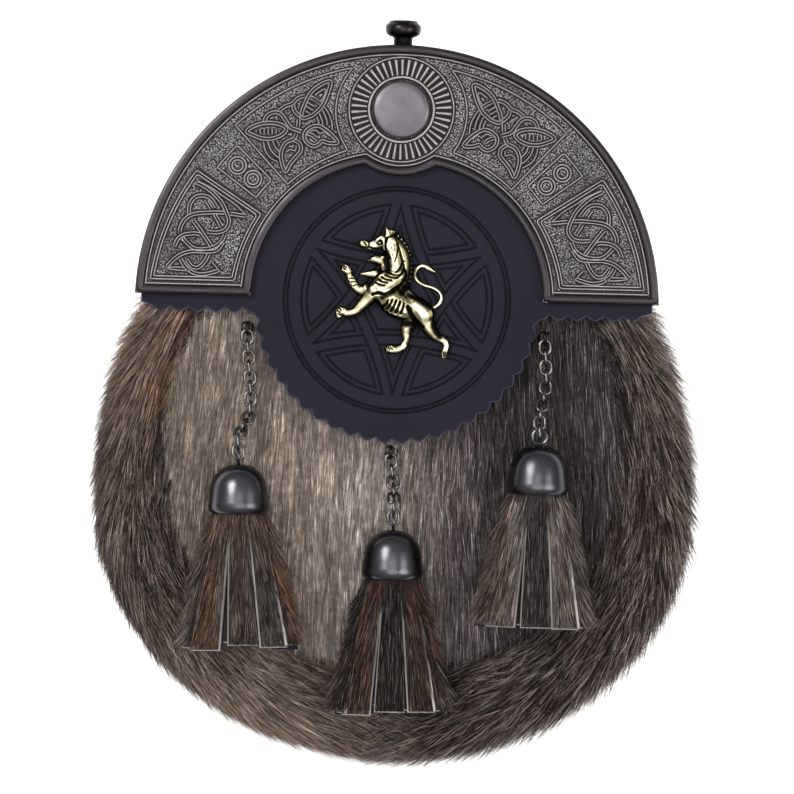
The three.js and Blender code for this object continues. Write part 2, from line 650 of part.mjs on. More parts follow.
function catchKnob() {
  const { headRadius: head, headTopY: top, headThickness: thick, stemRadius: stem } = KNOB;
  const skirtInner = CANTLE.centreY + CANTLE.radius - CANTLE.skirtWall;
  const collarTop = skirtInner - FIT_GAP - 0.4;
  const profile = [
    [0, KNOB.tipY], [stem - 0.6, KNOB.tipY], [stem, KNOB.tipY + 0.6],
    [stem, collarTop - KNOB.collarThickness], [KNOB.collarRadius, collarTop - KNOB.collarThickness],
    [KNOB.collarRadius, collarTop], [stem, collarTop],
    [stem, top - thick], [head - 1.6, top - thick + 0.3], [head - 0.2, top - thick + 2],
    [head, top - thick + 3.2], [head - 0.8, top - 1.1], [head - 2.6, top - 0.2], [0, top],
  ].map(([x, y]) => new THREE.Vector2(x, y));
  return new THREE.LatheGeometry(profile, 12).translate(0, 0, KNOB.z);
}

// Lion badge

function limbSolid({ from, to, r, rise }) {
  const start = new THREE.Vector3(from[0], from[1], rise[0]);
  const end = new THREE.Vector3(to[0], to[1], rise[1]);
  const length = start.distanceTo(end);
  const profile = [[0, -r[0]], [r[0], 0], [r[1], length], [0, length + r[1]]];
  const geometry = new THREE.LatheGeometry(profile.map(([x, y]) => new THREE.Vector2(x, y)), 5);
  const turn = new THREE.Quaternion().setFromUnitVectors(
    new THREE.Vector3(0, 1, 0),
    end.clone().sub(start).normalize(),
  );
  return solidFrom(geometry.applyQuaternion(turn).translate(start.x, start.y, start.z));
}

function lionBadge() {
  const beast = joined(LIMBS.map(limbSolid)).scale([1, 1, LION.flatten]);
  const underside = new THREE.BoxGeometry(90, 90, 20).translate(0, 0, -10);
  return beast.subtract(solidFrom(underside)).translate([LION.x, LION.y, LION.backZ]);
}

// Chains

// A stadium-shaped link: a ring whose two halves are drawn apart along its length
function linkGeometry() {
  const { wire, openLength, openWidth, rings, sides } = LINK;
  const radius = (openWidth + wire) / 2;
  const shift = (openLength - openWidth) / 2;
  const geometry = new THREE.TorusGeometry(radius, wire / 2, sides, rings);
  geometry.rotateZ(Math.PI / rings);
  const place = geometry.attributes.position;
  for (let i = 0; i < place.count; i++) place.setY(i, place.getY(i) + Math.sign(place.getY(i)) * shift);
  return geometry;
}

// The staple stands on the hide in a well of the coat. The first link lies round its lower leg.
function stapleSolid(staple) {
  const [x, y] = staple;
  const { wire, loopRadius, baseRadius, baseThickness, topZ } = STAPLE;
  const footZ = hideZ(x, y) + FIT_GAP;
  const base = new THREE.CylinderGeometry(baseRadius, baseRadius, baseThickness, 8);
  base.rotateX(Math.PI / 2).translate(0, 0, footZ + baseThickness / 2);
  const loopZ = topZ - loopRadius;
  const legLength = loopZ - footZ;
  const legs = [-1, 1].map((side) => new THREE.CylinderGeometry(wire / 2, wire / 2, legLength, 6)
    .rotateX(Math.PI / 2).translate(0, side * loopRadius, footZ + legLength / 2));
  const arch = new THREE.Shape();
  arch.absarc(0, 0, loopRadius + wire / 2, 0, Math.PI, false);
  arch.absarc(0, 0, loopRadius - wire / 2, Math.PI, 0, true);
  const bow = slab(arch, -wire / 2, wire / 2, 3).rotateX(Math.PI / 2).rotateZ(Math.PI / 2);
  bow.translate(0, 0, loopZ - 0.05);
  return joined([base, ...legs, bow].map(solidFrom)).translate([x, y, 0]);
}

// From the staple's lower leg to the cap's eye, straightening before the eye
function chainPath({ staple, bend, eye, leanDeg }) {
  const lead = new THREE.Vector2(0, 6).rotateAround(new THREE.Vector2(), THREE.MathUtils.degToRad(leanDeg));
  return new THREE.CatmullRomCurve3([
    new THREE.Vector3(staple[0], staple[1] - STAPLE.loopRadius, STAPLE.linkZ),
    new THREE.Vector3(bend[0], bend[1], STAPLE.linkZ + 1.4),
    new THREE.Vector3(eye[0] + lead.x, eye[1] + lead.y, CAP_AXIS_Z - 1.6),
    new THREE.Vector3(eye[0], eye[1], CAP_AXIS_Z),
  ], false, 'centripetal');
}

// Links lie flat and on edge by turns
function chainLinks(tassel) {
  const path = chainPath(tassel);
  const length = path.getLength();
  const endRoom = LINK.openLength / 2 - STAPLE.wire / 2 - 0.15;
  const shape = linkGeometry();
  const group = new THREE.Group();
  for (let i = 0; i < tassel.links; i++) {
    const along = THREE.MathUtils.lerp(endRoom, length - endRoom, i / (tassel.links - 1));
    const ahead = path.getTangentAt(along / length);
    const level = new THREE.Vector3(1, 0, 0).addScaledVector(ahead, -ahead.x).normalize();
    const facing = new THREE.Vector3().crossVectors(level, ahead);
    const number = String(i + 1).padStart(2, '0');
    const link = node(`link_${tassel.side}_${number}`, shape, MATERIALS.steel);
    link.position.copy(path.getPointAt(along / length));
    link.setRotationFromMatrix(new THREE.Matrix4().makeBasis(level, ahead, facing));
    link.rotateY(i % 2 === 0 ? 0 : Math.PI / 2);
    group.add(link);
  }
  return group;
}

// Tassels, each in its own frame: the axis runs down -Y from the cap's eye

// The eye stands across the last link
function bellCap(links) {
  const { radius, height, wall, eyeRadius, eyeWire, sides } = CAP;
  const domeSteps = 4;
  const domeHeight = radius * 0.98;
  const outside = [new THREE.Vector2(0, 0)];
  const inside = [];
  for (let i = 1; i <= domeSteps; i++) {
    const turn = (i / domeSteps) * Math.PI / 2;
    outside.push(new THREE.Vector2((radius - 0.5) * Math.sin(turn), -domeHeight * (1 - Math.cos(turn))));
    const depth = wall + (domeHeight - wall) * (1 - Math.cos(turn));
    inside.push(new THREE.Vector2((radius - 0.5 - wall) * Math.sin(turn), -depth));
  }
  outside.push(new THREE.Vector2(radius, -height + 1.6), new THREE.Vector2(radius - 0.4, -height));
  inside.push(new THREE.Vector2(radius - wall - 0.4, -height));
  const profile = [...outside, ...inside.reverse(), new THREE.Vector2(0, -wall)].reverse();
  const shell = solidFrom(new THREE.LatheGeometry(profile, sides));
  const arch = new THREE.Shape();
  arch.absarc(0, 0, eyeRadius + eyeWire / 2, -0.9, Math.PI + 0.9, false);
  arch.absarc(0, 0, eyeRadius - eyeWire / 2, Math.PI + 0.9, -0.9, true);
  const eye = slab(arch, -eyeWire / 2, eyeWire / 2, 4).translate(0, eyeRadius * 0.5, 0);
  return shell.add(solidFrom(eye.rotateY(links % 2 === 0 ? 0 : Math.PI / 2)));
}

// Ring of strip middles at three places down the tassel: half-width, half-thickness and sag
const TASSEL_SECTIONS = [
  { down: 0, wide: 7.1, thick: 7.1, sag: 0 },
  { down: 0.35, wide: 10.6, thick: 8.6, sag: -0.6 },
  { down: 1, wide: 16.4, thick: 7.6, sag: -2.6 },
];

function furTassel() {
  const { headRadius, headLength, length, strips, stripWidth, stripThickness } = TASSEL;
  const mouth = -CAP.height;
  const head = new THREE.CylinderGeometry(headRadius, headRadius, headLength, 8);
  head.translate(0, mouth + headLength / 2 - 1, 0);
  const pieces = Array.from({ length: strips }, (_, i) => {
    const angle = (i / strips) * Math.PI * 2 + 0.2;
    const rings = TASSEL_SECTIONS.map(({ down, wide, thick, sag }) => {
      const z = thick * Math.sin(angle) + sag;
      const centre = new THREE.Vector3(wide * Math.cos(angle), mouth - down * length, z);
      const side = new THREE.Vector3(-wide * Math.sin(angle), 0, thick * Math.cos(angle)).normalize();
      const out = new THREE.Vector3(side.z, 0, -side.x).multiplyScalar(stripThickness / 2);
      side.multiplyScalar(stripWidth * (0.33 + 0.17 * down));
      return [[1, 1], [1, -1], [-1, -1], [-1, 1]].map(([a, b]) => centre.clone()
        .addScaledVector(side, a).addScaledVector(out, b));
    });
    return solidFrom(loft(rings));
  });
  return joined([solidFrom(head), ...pieces]);
}

function tasselGroup(tassel) {
  const group = new THREE.Group();
  const cap = node(`cap_${tassel.side}`, bellCap(tassel.links), MATERIALS.gunmetal);
  const fur = node(`tassel_${tassel.side}`, furTassel(), MATERIALS.darkFur);
  const eyeDrop = CAP.eyeRadius * 1.5;
  group.position.set(tassel.eye[0], tassel.eye[1], CAP_AXIS_Z);
  group.rotation.z = THREE.MathUtils.degToRad(tassel.leanDeg);
  [cap, fur].forEach((mesh) => {
    mesh.position.y = -eyeDrop;
    group.add(mesh);
  });
  return group;
}

// Strap bails: a wire bow on two pads against the arch, one on each side behind the cantle

function strapBail(side) {
  const { wire, width, reach, padRadius, padThickness, z, angleDeg } = BAIL;
  const half = width / 2 - wire / 2;
  const bow = new THREE.CatmullRomCurve3([
    new THREE.Vector3(0.2, -half, 0), new THREE.Vector3(reach * 0.5, -half, 0),
    new THREE.Vector3(reach - wire / 2, -half * 0.62, 0),
    new THREE.Vector3(reach - wire / 2, half * 0.62, 0),
    new THREE.Vector3(reach * 0.5, half, 0), new THREE.Vector3(0.2, half, 0),
  ], false, 'centripetal');
  const section = new THREE.Shape().absarc(0, 0, wire / 2, 0, Math.PI * 2);
  const rod = new THREE.ExtrudeGeometry(section, { steps: 9, curveSegments: 3, extrudePath: bow });
  const pads = [-half, half].map((y) => new THREE.CylinderGeometry(padRadius, padRadius, padThickness, 8)
    .rotateZ(Math.PI / 2).translate(padThickness / 2, y, 0));
  const angle = THREE.MathUtils.degToRad(side > 0 ? angleDeg : 180 - angleDeg);
  const sagitta = POUCH.archRadius - Math.sqrt(POUCH.archRadius ** 2 - (half + padRadius) ** 2);
  const foot = POUCH.archRadius + FIT_GAP - sagitta * 0.35;
  const solid = joined([rod, ...pads].map(solidFrom));
  return solid.translate([foot, 0, 0]).rotate([0, 0, THREE.MathUtils.radToDeg(angle)])
    .translate([0, POUCH.archCentreY, z]);
}

// Assembly

const sporran = new THREE.Group();
sporran.add(
  node('back_panel', backPanel(), MATERIALS.blackLeather),
  node('pouch_shell', pouchShell(), MATERIALS.hide),
  node('fur_front', frontCoat(), MATERIALS.paleFur),
  node('fur_border', rolledBorder(), MATERIALS.darkFur),
  node('flap', flap(), MATERIALS.blackLeather),
  node('cantle', cantle(), MATERIALS.pewter),
  node('catch_knob', catchKnob(), MATERIALS.gunmetal),
  node('lion_badge', lionBadge(), MATERIALS.brass),
  node('strap_bail_left', strapBail(-1), MATERIALS.steel),
  node('strap_bail_right', strapBail(1), MATERIALS.steel),
);
TASSELS.forEach((tassel) => {
  sporran.add(
    node(`staple_${tassel.side}`, stapleSolid(tassel.staple), MATERIALS.blackIron),
    chainLinks(tassel),
    tasselGroup(tassel),
  );
});

export default sporran;
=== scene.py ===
import math

import bpy
import numpy as np
from mathutils import Matrix, Vector
from mathutils.kdtree import KDTree


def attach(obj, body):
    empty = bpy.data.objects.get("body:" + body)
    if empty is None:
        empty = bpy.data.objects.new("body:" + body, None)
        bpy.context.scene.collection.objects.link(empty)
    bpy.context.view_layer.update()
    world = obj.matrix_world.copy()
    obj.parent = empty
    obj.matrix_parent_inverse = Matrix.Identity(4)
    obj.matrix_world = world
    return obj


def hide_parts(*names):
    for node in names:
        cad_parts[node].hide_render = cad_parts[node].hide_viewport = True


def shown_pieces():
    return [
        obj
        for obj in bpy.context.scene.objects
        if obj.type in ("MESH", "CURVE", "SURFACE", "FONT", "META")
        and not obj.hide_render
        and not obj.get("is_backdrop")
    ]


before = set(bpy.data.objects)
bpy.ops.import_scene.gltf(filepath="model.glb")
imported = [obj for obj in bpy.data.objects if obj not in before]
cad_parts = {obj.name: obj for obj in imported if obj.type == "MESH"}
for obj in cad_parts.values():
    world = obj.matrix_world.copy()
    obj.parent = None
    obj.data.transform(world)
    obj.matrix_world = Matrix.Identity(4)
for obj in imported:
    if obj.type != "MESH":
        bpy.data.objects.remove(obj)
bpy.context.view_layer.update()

mm = 0.001
rng = np.random.default_rng(11)
bpy.context.scene.view_settings.view_transform = "Standard"


# Small helpers

def clearSelection():
    if bpy.context.object and bpy.context.object.mode != "OBJECT":
        bpy.ops.object.mode_set(mode="OBJECT")
    bpy.ops.object.select_all(action="DESELECT")


def focus(piece):
    clearSelection()
    piece.select_set(True)
    bpy.context.view_layer.objects.active = piece


def pointsOf(piece):
    flat = np.empty(len(piece.data.vertices) * 3)
    piece.data.vertices.foreach_get("co", flat)
    return flat.reshape(-1, 3) / mm


def setPoints(piece, where):
    piece.data.vertices.foreach_set("co", (np.asarray(where) * mm).ravel())
    piece.data.update()


def linked(name, data):
    piece = bpy.data.objects.new(name, data)
    bpy.context.collection.objects.link(piece)
    return piece


def newPiece(name, where, faces=(), edges=()):
    mesh = bpy.data.meshes.new(name)
    mesh.from_pydata((np.asarray(where, float) * mm).tolist(), list(edges), [list(f) for f in faces])
    return linked(name, mesh)


def applyAll(piece):
    focus(piece)
    for step in list(piece.modifiers):
        bpy.ops.object.modifier_apply(modifier=step.name)


def shadeBy(piece, angle):
    focus(piece)
    bpy.ops.object.shade_smooth_by_angle(angle=math.radians(angle))


def cleanMesh(piece, angle=40, gap=0.005):
    focus(piece)
    bpy.ops.object.mode_set(mode="EDIT")
    bpy.ops.mesh.select_all(action="SELECT")
    bpy.ops.mesh.remove_doubles(threshold=gap * mm)
    bpy.ops.mesh.normals_make_consistent(inside=False)
    bpy.ops.object.mode_set(mode="OBJECT")
    shadeBy(piece, angle)


def deleteVertices(piece, chosen):
    focus(piece)
    bpy.ops.object.mode_set(mode="EDIT")
    bpy.ops.mesh.select_mode(type="VERT")
    bpy.ops.mesh.select_all(action="DESELECT")
    bpy.ops.object.mode_set(mode="OBJECT")
    piece.data.vertices.foreach_set("select", chosen)
    bpy.ops.object.mode_set(mode="EDIT")
    bpy.ops.mesh.delete(type="VERT")
    bpy.ops.object.mode_set(mode="OBJECT")


def joinPieces(name, parts):
    clearSelection()
    for part in parts:
        part.select_set(True)
    bpy.context.view_layer.objects.active = parts[0]
    bpy.ops.object.join()
    piece = bpy.context.object
    piece.name = name
    piece.data.name = name
    return piece


def settle(piece, body, slotName, *nodes):
    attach(piece, body)
    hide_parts(*nodes)


def ringFaces(rings, count):
    # Quads between rings of the same number of points, each ring closed on itself
    faces = []
    for start in range(0, (rings - 1) * count, count):
        for i in range(count):
            after = start + (i + 1) % count
            faces.append((start + i, after, after + count, start + i + count))
    return faces


def circle(count):
    turn = np.linspace(0, math.tau, count + 1)[:-1]
    return np.column_stack([np.cos(turn), np.sin(turn)])


def raised(piece, height):
    # Draws a flat face out into a plate
    focus(piece)
    bpy.ops.object.mode_set(mode="EDIT")
    bpy.ops.mesh.select_all(action="SELECT")
    bpy.ops.mesh.extrude_region_move(TRANSFORM_OT_translate={"value": (0, 0, height * mm)})
    bpy.ops.mesh.select_all(action="SELECT")
    bpy.ops.mesh.normals_make_consistent(inside=False)
    bpy.ops.object.mode_set(mode="OBJECT")


def thickened(piece, thickness, even=False):
    thick = piece.modifiers.new("thick", "SOLIDIFY")
    thick.thickness = thickness * mm
    thick.offset = -1
    thick.use_even_offset = even
    applyAll(piece)


def tube(name, paths, radius, bevelSteps=1, closed=False):
    # Rows of a path are x, y, z and, if there is a fourth, a share of the radius.
    curve = bpy.data.curves.new(name, "CURVE")
    curve.dimensions = "3D"
    curve.bevel_depth = radius * mm
    curve.bevel_resolution = bevelSteps
    curve.use_fill_caps = True
    for path in paths:
        path = np.asarray(path, float)
        spline = curve.splines.new("POLY")
        spline.points.add(len(path) - 1)
        rows = np.ones((len(path), 4))
        rows[:, :3] = path[:, :3] * mm
        spline.points.foreach_set("co", rows.ravel())
        if path.shape[1] > 3:
            spline.points.foreach_set("radius", path[:, 3].copy())
        spline.use_cyclic_u = closed
    focus(linked(name, curve))
    bpy.ops.object.convert(target="MESH")
    return bpy.context.object


def turned(name, profile, steps):
    # A profile of radius and height spun round the Z axis
    edges = [(i, i + 1) for i in range(len(profile) - 1)]
    piece = newPiece(name, [(r, 0, h) for r, h in profile], edges=edges)
    spin = piece.modifiers.new("spin", "SCREW")
    spin.axis = "Z"
    spin.angle = math.tau
    spin.steps = steps
    spin.render_steps = steps
    spin.use_merge_vertices = True
    spin.merge_threshold = 0.002 * mm
    applyAll(piece)
    cleanMesh(piece, 45)
    return piece


def paint(piece, *materials):
    piece.data.materials.clear()
    for material in materials:
        piece.data.materials.append(material)
    return piece


def moved(piece, matrix):
    piece.data.transform(matrix)
    piece.data.update()
    return piece


def smoothLine(rows, step=0.6, closed=False):
    # Catmull-Rom through the rows, taken at about one step apart
    rows = np.asarray(rows, float)
    n = len(rows)
    out = []
    for i in range(n if closed else n - 1):
        if closed:
            a, b, c, d = (rows[(i + k) % n] for k in (-1, 0, 1, 2))
        else:
            a, b = rows[max(i - 1, 0)], rows[i]
            c, d = rows[i + 1], rows[min(i + 2, n - 1)]
        count = max(2, int(np.linalg.norm((c - b)[:2]) / step))
        for t in np.arange(count) / count:
            bend = (2 * a - 5 * b + 4 * c - d) * t**2
            out.append(0.5 * (2 * b + (c - a) * t + bend + (3 * b - a - 3 * c + d) * t**3))
    if not closed:
        out.append(rows[-1])
    return np.array(out)


def unitRows(rows, least=0.0):
    return rows / (np.linalg.norm(rows, axis=1, keepdims=True) + least)


def eased(share):
    return share * share * (3 - 2 * share)


def travelled(path):
    # Distance gone at each point of a path
    return np.concatenate([[0], np.cumsum(np.linalg.norm(np.diff(path, axis=0), axis=1))])


def pathAt(path, gone, marks):
    return np.column_stack([np.interp(marks, gone, path[:, 0]), np.interp(marks, gone, path[:, 1])])


def nearest(points, path):
    # Distance of each point to a path's samples
    best = np.full(len(points), 1e9)
    for start in range(0, len(points), 4000):
        part = points[start:start + 4000]
        gaps = ((part[:, None, :2] - path[None, :, :2]) ** 2).sum(2)
        best[start:start + 4000] = np.sqrt(gaps.min(1))
    return best


def insetLoop(loop, inset):
    # Moves a counter-clockwise loop inwards, with mitred corners
    before = unitRows(loop - np.roll(loop, 1, 0))
    after = unitRows(np.roll(loop, -1, 0) - loop)
    n0 = np.column_stack([-before[:, 1], before[:, 0]])
    n1 = np.column_stack([-after[:, 1], after[:, 0]])
    both = unitRows(n0 + n1)
    stretch = 1 / np.maximum(0.45, (both * n1).sum(1, keepdims=True))
    return loop + both * inset * stretch


def drawn(rows, left, top, unit, turn=1.4):
    # Rows of a drawing, right and down from its corner, as millimetres on the object
    rows = np.asarray(rows, float)
    x, y, turn = rows[:, 0] * unit + left, top - rows[:, 1] * unit, math.radians(turn)
    return np.column_stack([x * math.cos(turn) - y * math.sin(turn), x * math.sin(turn) + y * math.cos(turn)])


def linear(*shade):
    share = np.asarray(shade, float) / 255
    return np.where(share <= 0.04045, share / 12.92, ((share + 0.055) / 1.055) ** 2.4)


def rgba(*shade):
    return (*[float(v) for v in linear(*shade)], 1.0)


# Node groups and materials

def startGroup(name, inputs, outputs):
    group = bpy.data.node_groups.new(name, "ShaderNodeTree")
    for label, kind, value in inputs:
        socket = group.interface.new_socket(label, in_out="INPUT", socket_type=kind)
        if value is not None:
            socket.default_value = value
    for label, kind in outputs:
        group.interface.new_socket(label, in_out="OUTPUT", socket_type=kind)
    return group, group.nodes.new("NodeGroupInput"), group.nodes.new("NodeGroupOutput")


def addNode(tree, kind, inputs=None, **settings):
    node = tree.nodes.new(kind)
    for key, value in settings.items():
        setattr(node, key, value)
    for key, value in (inputs or {}).items():
        if isinstance(value, bpy.types.NodeSocket):
            tree.links.new(value, node.inputs[key])
        else:
            node.inputs[key].default_value = value
    return node


def mixColour(tree, share, first, second):
    node = tree.nodes.new("ShaderNodeMix")
    node.data_type = "RGBA"
    for socket, value in zip((node.inputs[0], node.inputs[6], node.inputs[7]), (share, first, second)):
        if isinstance(value, bpy.types.NodeSocket):
            tree.links.new(value, socket)
        else:
            socket.default_value = value
    return node.outputs[2]


def objectSpot(tree):
    return addNode(tree, "ShaderNodeTexCoord").outputs["Object"]


def noise(tree, scale, detail, **more):
    inputs = {"Vector": objectSpot(tree), "Scale": scale, "Detail": detail, **more}
    return addNode(tree, "ShaderNodeTexNoise", inputs).outputs["Fac"]


def remap(tree, value, low, high, toLow, toHigh):
    return addNode(tree, "ShaderNodeMapRange", {
        "Value": value, "From Min": low, "From Max": high, "To Min": toLow, "To Max": toHigh}).outputs[0]


def combine(tree, operation, first, second, clamp=False):
    node = addNode(tree, "ShaderNodeMath", {0: first, 1: second}, operation=operation, use_clamp=clamp)
    return node.outputs[0]


# Cast metal: bright grains on a dark ground, with a slow patina
antique, antiqueIn, antiqueOut = startGroup(
    "castGrain",
    [("Dark", "NodeSocketColor", None), ("Bright", "NodeSocketColor", None),
     ("Pebble", "NodeSocketFloat", 1700.0)],
    [("Color", "NodeSocketColor"), ("Roughness", "NodeSocketFloat"), ("Height", "NodeSocketFloat")],
)
pebble = addNode(antique, "ShaderNodeTexVoronoi", {
    "Vector": objectSpot(antique), "Scale": antiqueIn.outputs["Pebble"]})
bead = remap(antique, pebble.outputs["Distance"], 0.2, 0.62, 1.0, 0.0)
patch = remap(antique, noise(antique, 70.0, 5.0), 0.3, 0.7, 0.45, 1.0)
share = combine(antique, "MULTIPLY", bead, patch, True)
shade = mixColour(antique, share, antiqueIn.outputs["Dark"], antiqueIn.outputs["Bright"])
antique.links.new(shade, antiqueOut.inputs["Color"])
antique.links.new(remap(antique, share, 0.0, 1.0, 0.6, 0.34), antiqueOut.inputs["Roughness"])
antique.links.new(bead, antiqueOut.inputs["Height"])

# Leather: pores and creases as a height, and a slow change of tone
grain, grainIn, grainOut = startGroup(
    "leatherGrain", [("Scale", "NodeSocketFloat", 900.0)],
    [("Height", "NodeSocketFloat"), ("Tone", "NodeSocketFloat")],
)
cell = addNode(grain, "ShaderNodeTexVoronoi", {
    "Vector": objectSpot(grain), "Scale": grainIn.outputs["Scale"]}, feature="SMOOTH_F1")
crease = noise(grain, 240.0, 8.0, Roughness=0.65)
grain.links.new(combine(grain, "SUBTRACT", crease, cell.outputs["Distance"]), grainOut.inputs["Height"])
grain.links.new(noise(grain, 26.0, 3.0), grainOut.inputs["Tone"])

# Hair: the colour stored with each hair, broken up along its length
fibre, fibreIn, fibreOut = startGroup(
    "hairColour", [("Gain", "NodeSocketFloat", 1.0)], [("Color", "NodeSocketColor")])
stored = addNode(fibre, "ShaderNodeAttribute", attribute_name="tint")
level = remap(fibre, noise(fibre, 420.0, 2.0), 0.3, 0.7, 0.78, 1.22)
tone = addNode(fibre, "ShaderNodeVectorMath", {0: stored.outputs["Color"]}, operation="SCALE")
fibre.links.new(combine(fibre, "MULTIPLY", level, fibreIn.outputs["Gain"]), tone.inputs["Scale"])
fibre.links.new(tone.outputs[0], fibreOut.inputs["Color"])


def startMaterial(name, colour=(0.5, 0.5, 0.5, 1), rough=0.5, metal=0.0, **shader):
    material = bpy.data.materials.new(name)
    material.use_nodes = True
    tree = material.node_tree
    skin = tree.nodes["Principled BSDF"]
    skin.inputs["Base Color"].default_value = colour
    skin.inputs["Roughness"].default_value = rough
    skin.inputs["Metallic"].default_value = metal
    for key, value in shader.items():
        skin.inputs[key.replace("_", " ")].default_value = value
    return material, tree, skin


def useGroup(tree, group, **inputs):
    node = tree.nodes.new("ShaderNodeGroup")
    node.node_tree = group
    for key, value in inputs.items():
        node.inputs[key].default_value = value
    return node


def addBump(tree, skin, height, distance, strength=1.0):
    bump = addNode(tree, "ShaderNodeBump", {"Height": height, "Distance": distance, "Strength": strength})
    tree.links.new(bump.outputs["Normal"], skin.inputs["Normal"])


def castMetal(name, dark, bright, pebbleScale, depth):
    material, tree, skin = startMaterial(name, metal=1.0)
    cast = useGroup(tree, antique, Dark=dark, Bright=bright, Pebble=pebbleScale)
    tree.links.new(cast.outputs["Color"], skin.inputs["Base Color"])
    tree.links.new(cast.outputs["Roughness"], skin.inputs["Roughness"])
    addBump(tree, skin, cast.outputs["Height"], depth * mm)
    return material


def shadeTimes(colour, factor):
    return (*[min(1.0, c * factor) for c in colour[:3]], 1)


def toolMetal(name, stops):
    # Polished on top, with patina in the cut hollows and painted shade on steep sides, low edges and
    # sheltered parts, by the stored "hollow" share
    material, tree, skin = startMaterial(name, metal=1.0)
    hollow = addNode(tree, "ShaderNodeAttribute", attribute_name="hollow").outputs["Fac"]
    drift = remap(tree, noise(tree, 500.0, 4.0), 0.3, 0.7, -0.1, 0.1)
    level = combine(tree, "ADD", hollow, drift, True)
    ramp = addNode(tree, "ShaderNodeValToRGB", {"Fac": level})
    while len(ramp.color_ramp.elements) < len(stops):
        ramp.color_ramp.elements.new(0.5)
    for element, (place, colour) in zip(ramp.color_ramp.elements, stops):
        element.position = place
        element.color = colour
    tree.links.new(ramp.outputs["Color"], skin.inputs["Base Color"])
    tree.links.new(remap(tree, level, 0.0, 1.0, 0.26, 0.6), skin.inputs["Roughness"])
    return material


def plainLeather(name, colour, rough, scale, depth, groove=False, shine=0.3):
    material, tree, skin = startMaterial(name, colour, rough, Specular_IOR_Level=shine)
    hide = useGroup(tree, grain, Scale=scale)
    shade = mixColour(tree, hide.outputs["Tone"], colour, shadeTimes(colour, 1.45))
    if groove:
        pressed = addNode(tree, "ShaderNodeAttribute", attribute_name="groove")
        shade = mixColour(tree, pressed.outputs["Fac"], shade, shadeTimes(colour, 0.1))
    tree.links.new(shade, skin.inputs["Base Color"])
    addBump(tree, skin, hide.outputs["Height"], depth * mm, 0.6)
    return material


def wornMetal(name, colour, rough, spread, scale=160.0):
    # Bright metal with faint uneven polish
    material, tree, skin = startMaterial(name, colour, rough, 1.0)
    haze = noise(tree, scale, 5.0)
    tree.links.new(remap(tree, haze, 0.3, 0.7, rough - spread, rough + spread), skin.inputs["Roughness"])
    tree.links.new(mixColour(tree, haze, colour, shadeTimes(colour, 0.72)), skin.inputs["Base Color"])
    addBump(tree, skin, haze, 0.02 * mm, 0.4)
    return material


def furMaterial(name, gain, rough=0.55):
    material, tree, skin = startMaterial(name, rough=rough, Specular_IOR_Level=0.2)
    hair = useGroup(tree, fibre, Gain=gain)
    tree.links.new(hair.outputs["Color"], skin.inputs["Base Color"])
    return material


pewter = castMetal("pewter", rgba(44, 42, 43), rgba(154, 151, 154), 1650.0, 0.13)
pewterLine = wornMetal("pewterLine", rgba(126, 122, 122), 0.36, 0.08, 300.0)
pewterRim = wornMetal("pewterRim", rgba(56, 53, 55), 0.34, 0.1, 90.0)
# Dark pewter for the flat ribbons of painted shade beside the ridges and under the rays
pewterPaintedShade = wornMetal("pewterPaintedShade", rgba(40, 38, 39), 0.6, 0.05, 300.0)
brass = toolMetal("brass", [
    (0.0, rgba(204, 198, 166)), (0.25, rgba(142, 133, 101)), (0.55, rgba(60, 54, 38)),
    (0.85, rgba(13, 12, 9))])
satin = wornMetal("satinDisc", rgba(100, 97, 101), 0.46, 0.2, 70.0)
gunmetal = wornMetal("gunmetal", rgba(80, 79, 83), 0.27, 0.05)
chainSteel = wornMetal("chainSteel", rgba(104, 101, 98), 0.24, 0.08, 500.0)
bailSteel = wornMetal("bailSteel", rgba(170, 168, 166), 0.28, 0.08)
blackIron = wornMetal("blackIron", rgba(46, 44, 44), 0.4, 0.08)
knobMetal = wornMetal("knobMetal", rgba(42, 39, 39), 0.3, 0.08)
flapLeather = plainLeather("flapLeather", rgba(24, 23, 31), 0.72, 1300.0, 0.07, groove=True, shine=0.08)
cutEdge = plainLeather("cutEdge", rgba(76, 78, 104), 0.7, 900.0, 0.05)
backLeather = plainLeather("backLeather", rgba(34, 32, 33), 0.55, 700.0, 0.12)
hideLeather = plainLeather("hideLeather", rgba(92, 78, 66), 0.6, 700.0, 0.10)
stripEdge = plainLeather("stripEdge", rgba(136, 130, 127), 0.75, 1200.0, 0.04)
stripBack = plainLeather("stripBack", rgba(28, 28, 40), 0.7, 1200.0, 0.05, shine=0.1)
paleFur = furMaterial("paleFur", 1.0)
darkFur = furMaterial("darkFur", 1.0)
tasselFur = furMaterial("tasselFur", 1.0)
print("materials ready")


# Outline of the pouch, in millimetres

pouch = {"halfWidth": 99.0, "widestY": -37.3, "upper": 117.5, "lower": 85.5, "archRadius": 81.0,
         "archY": 30.3, "rim": 33.0, "crown": 35.5}


def frontHeight(x, y):
    reach = np.where(y > pouch["widestY"], pouch["upper"] + 12, pouch["lower"])
    share = np.minimum(1, np.hypot(x / pouch["halfWidth"], (y - pouch["widestY"]) / reach))
    return pouch["rim"] + (pouch["crown"] - pouch["rim"]) * (1 - share**2)


def rimPoint(turn, grow):
    # A point of the rounded lower outline, from the angle about its widest line
    reach = np.where(np.sin(turn) > 0, pouch["upper"], pouch["lower"])
    return ((pouch["halfWidth"] + grow) * np.cos(turn),
            pouch["widestY"] + (reach + grow) * np.sin(turn))


topTurn = math.asin((pouch["archY"] - pouch["widestY"]) / pouch["upper"])


def wholeOutline(grow, lowSteps=150, archSteps=90):
    turns = np.linspace(math.pi - topTurn, math.tau + topTurn, lowSteps)
    low = np.stack(rimPoint(turns, grow), 1)
    arch = np.linspace(0, math.pi, archSteps + 2)[1:-1]
    radius = pouch["archRadius"] + grow
    high = np.stack([radius * np.cos(arch), pouch["archY"] + radius * np.sin(arch)], 1)
    return np.vstack([low, high])


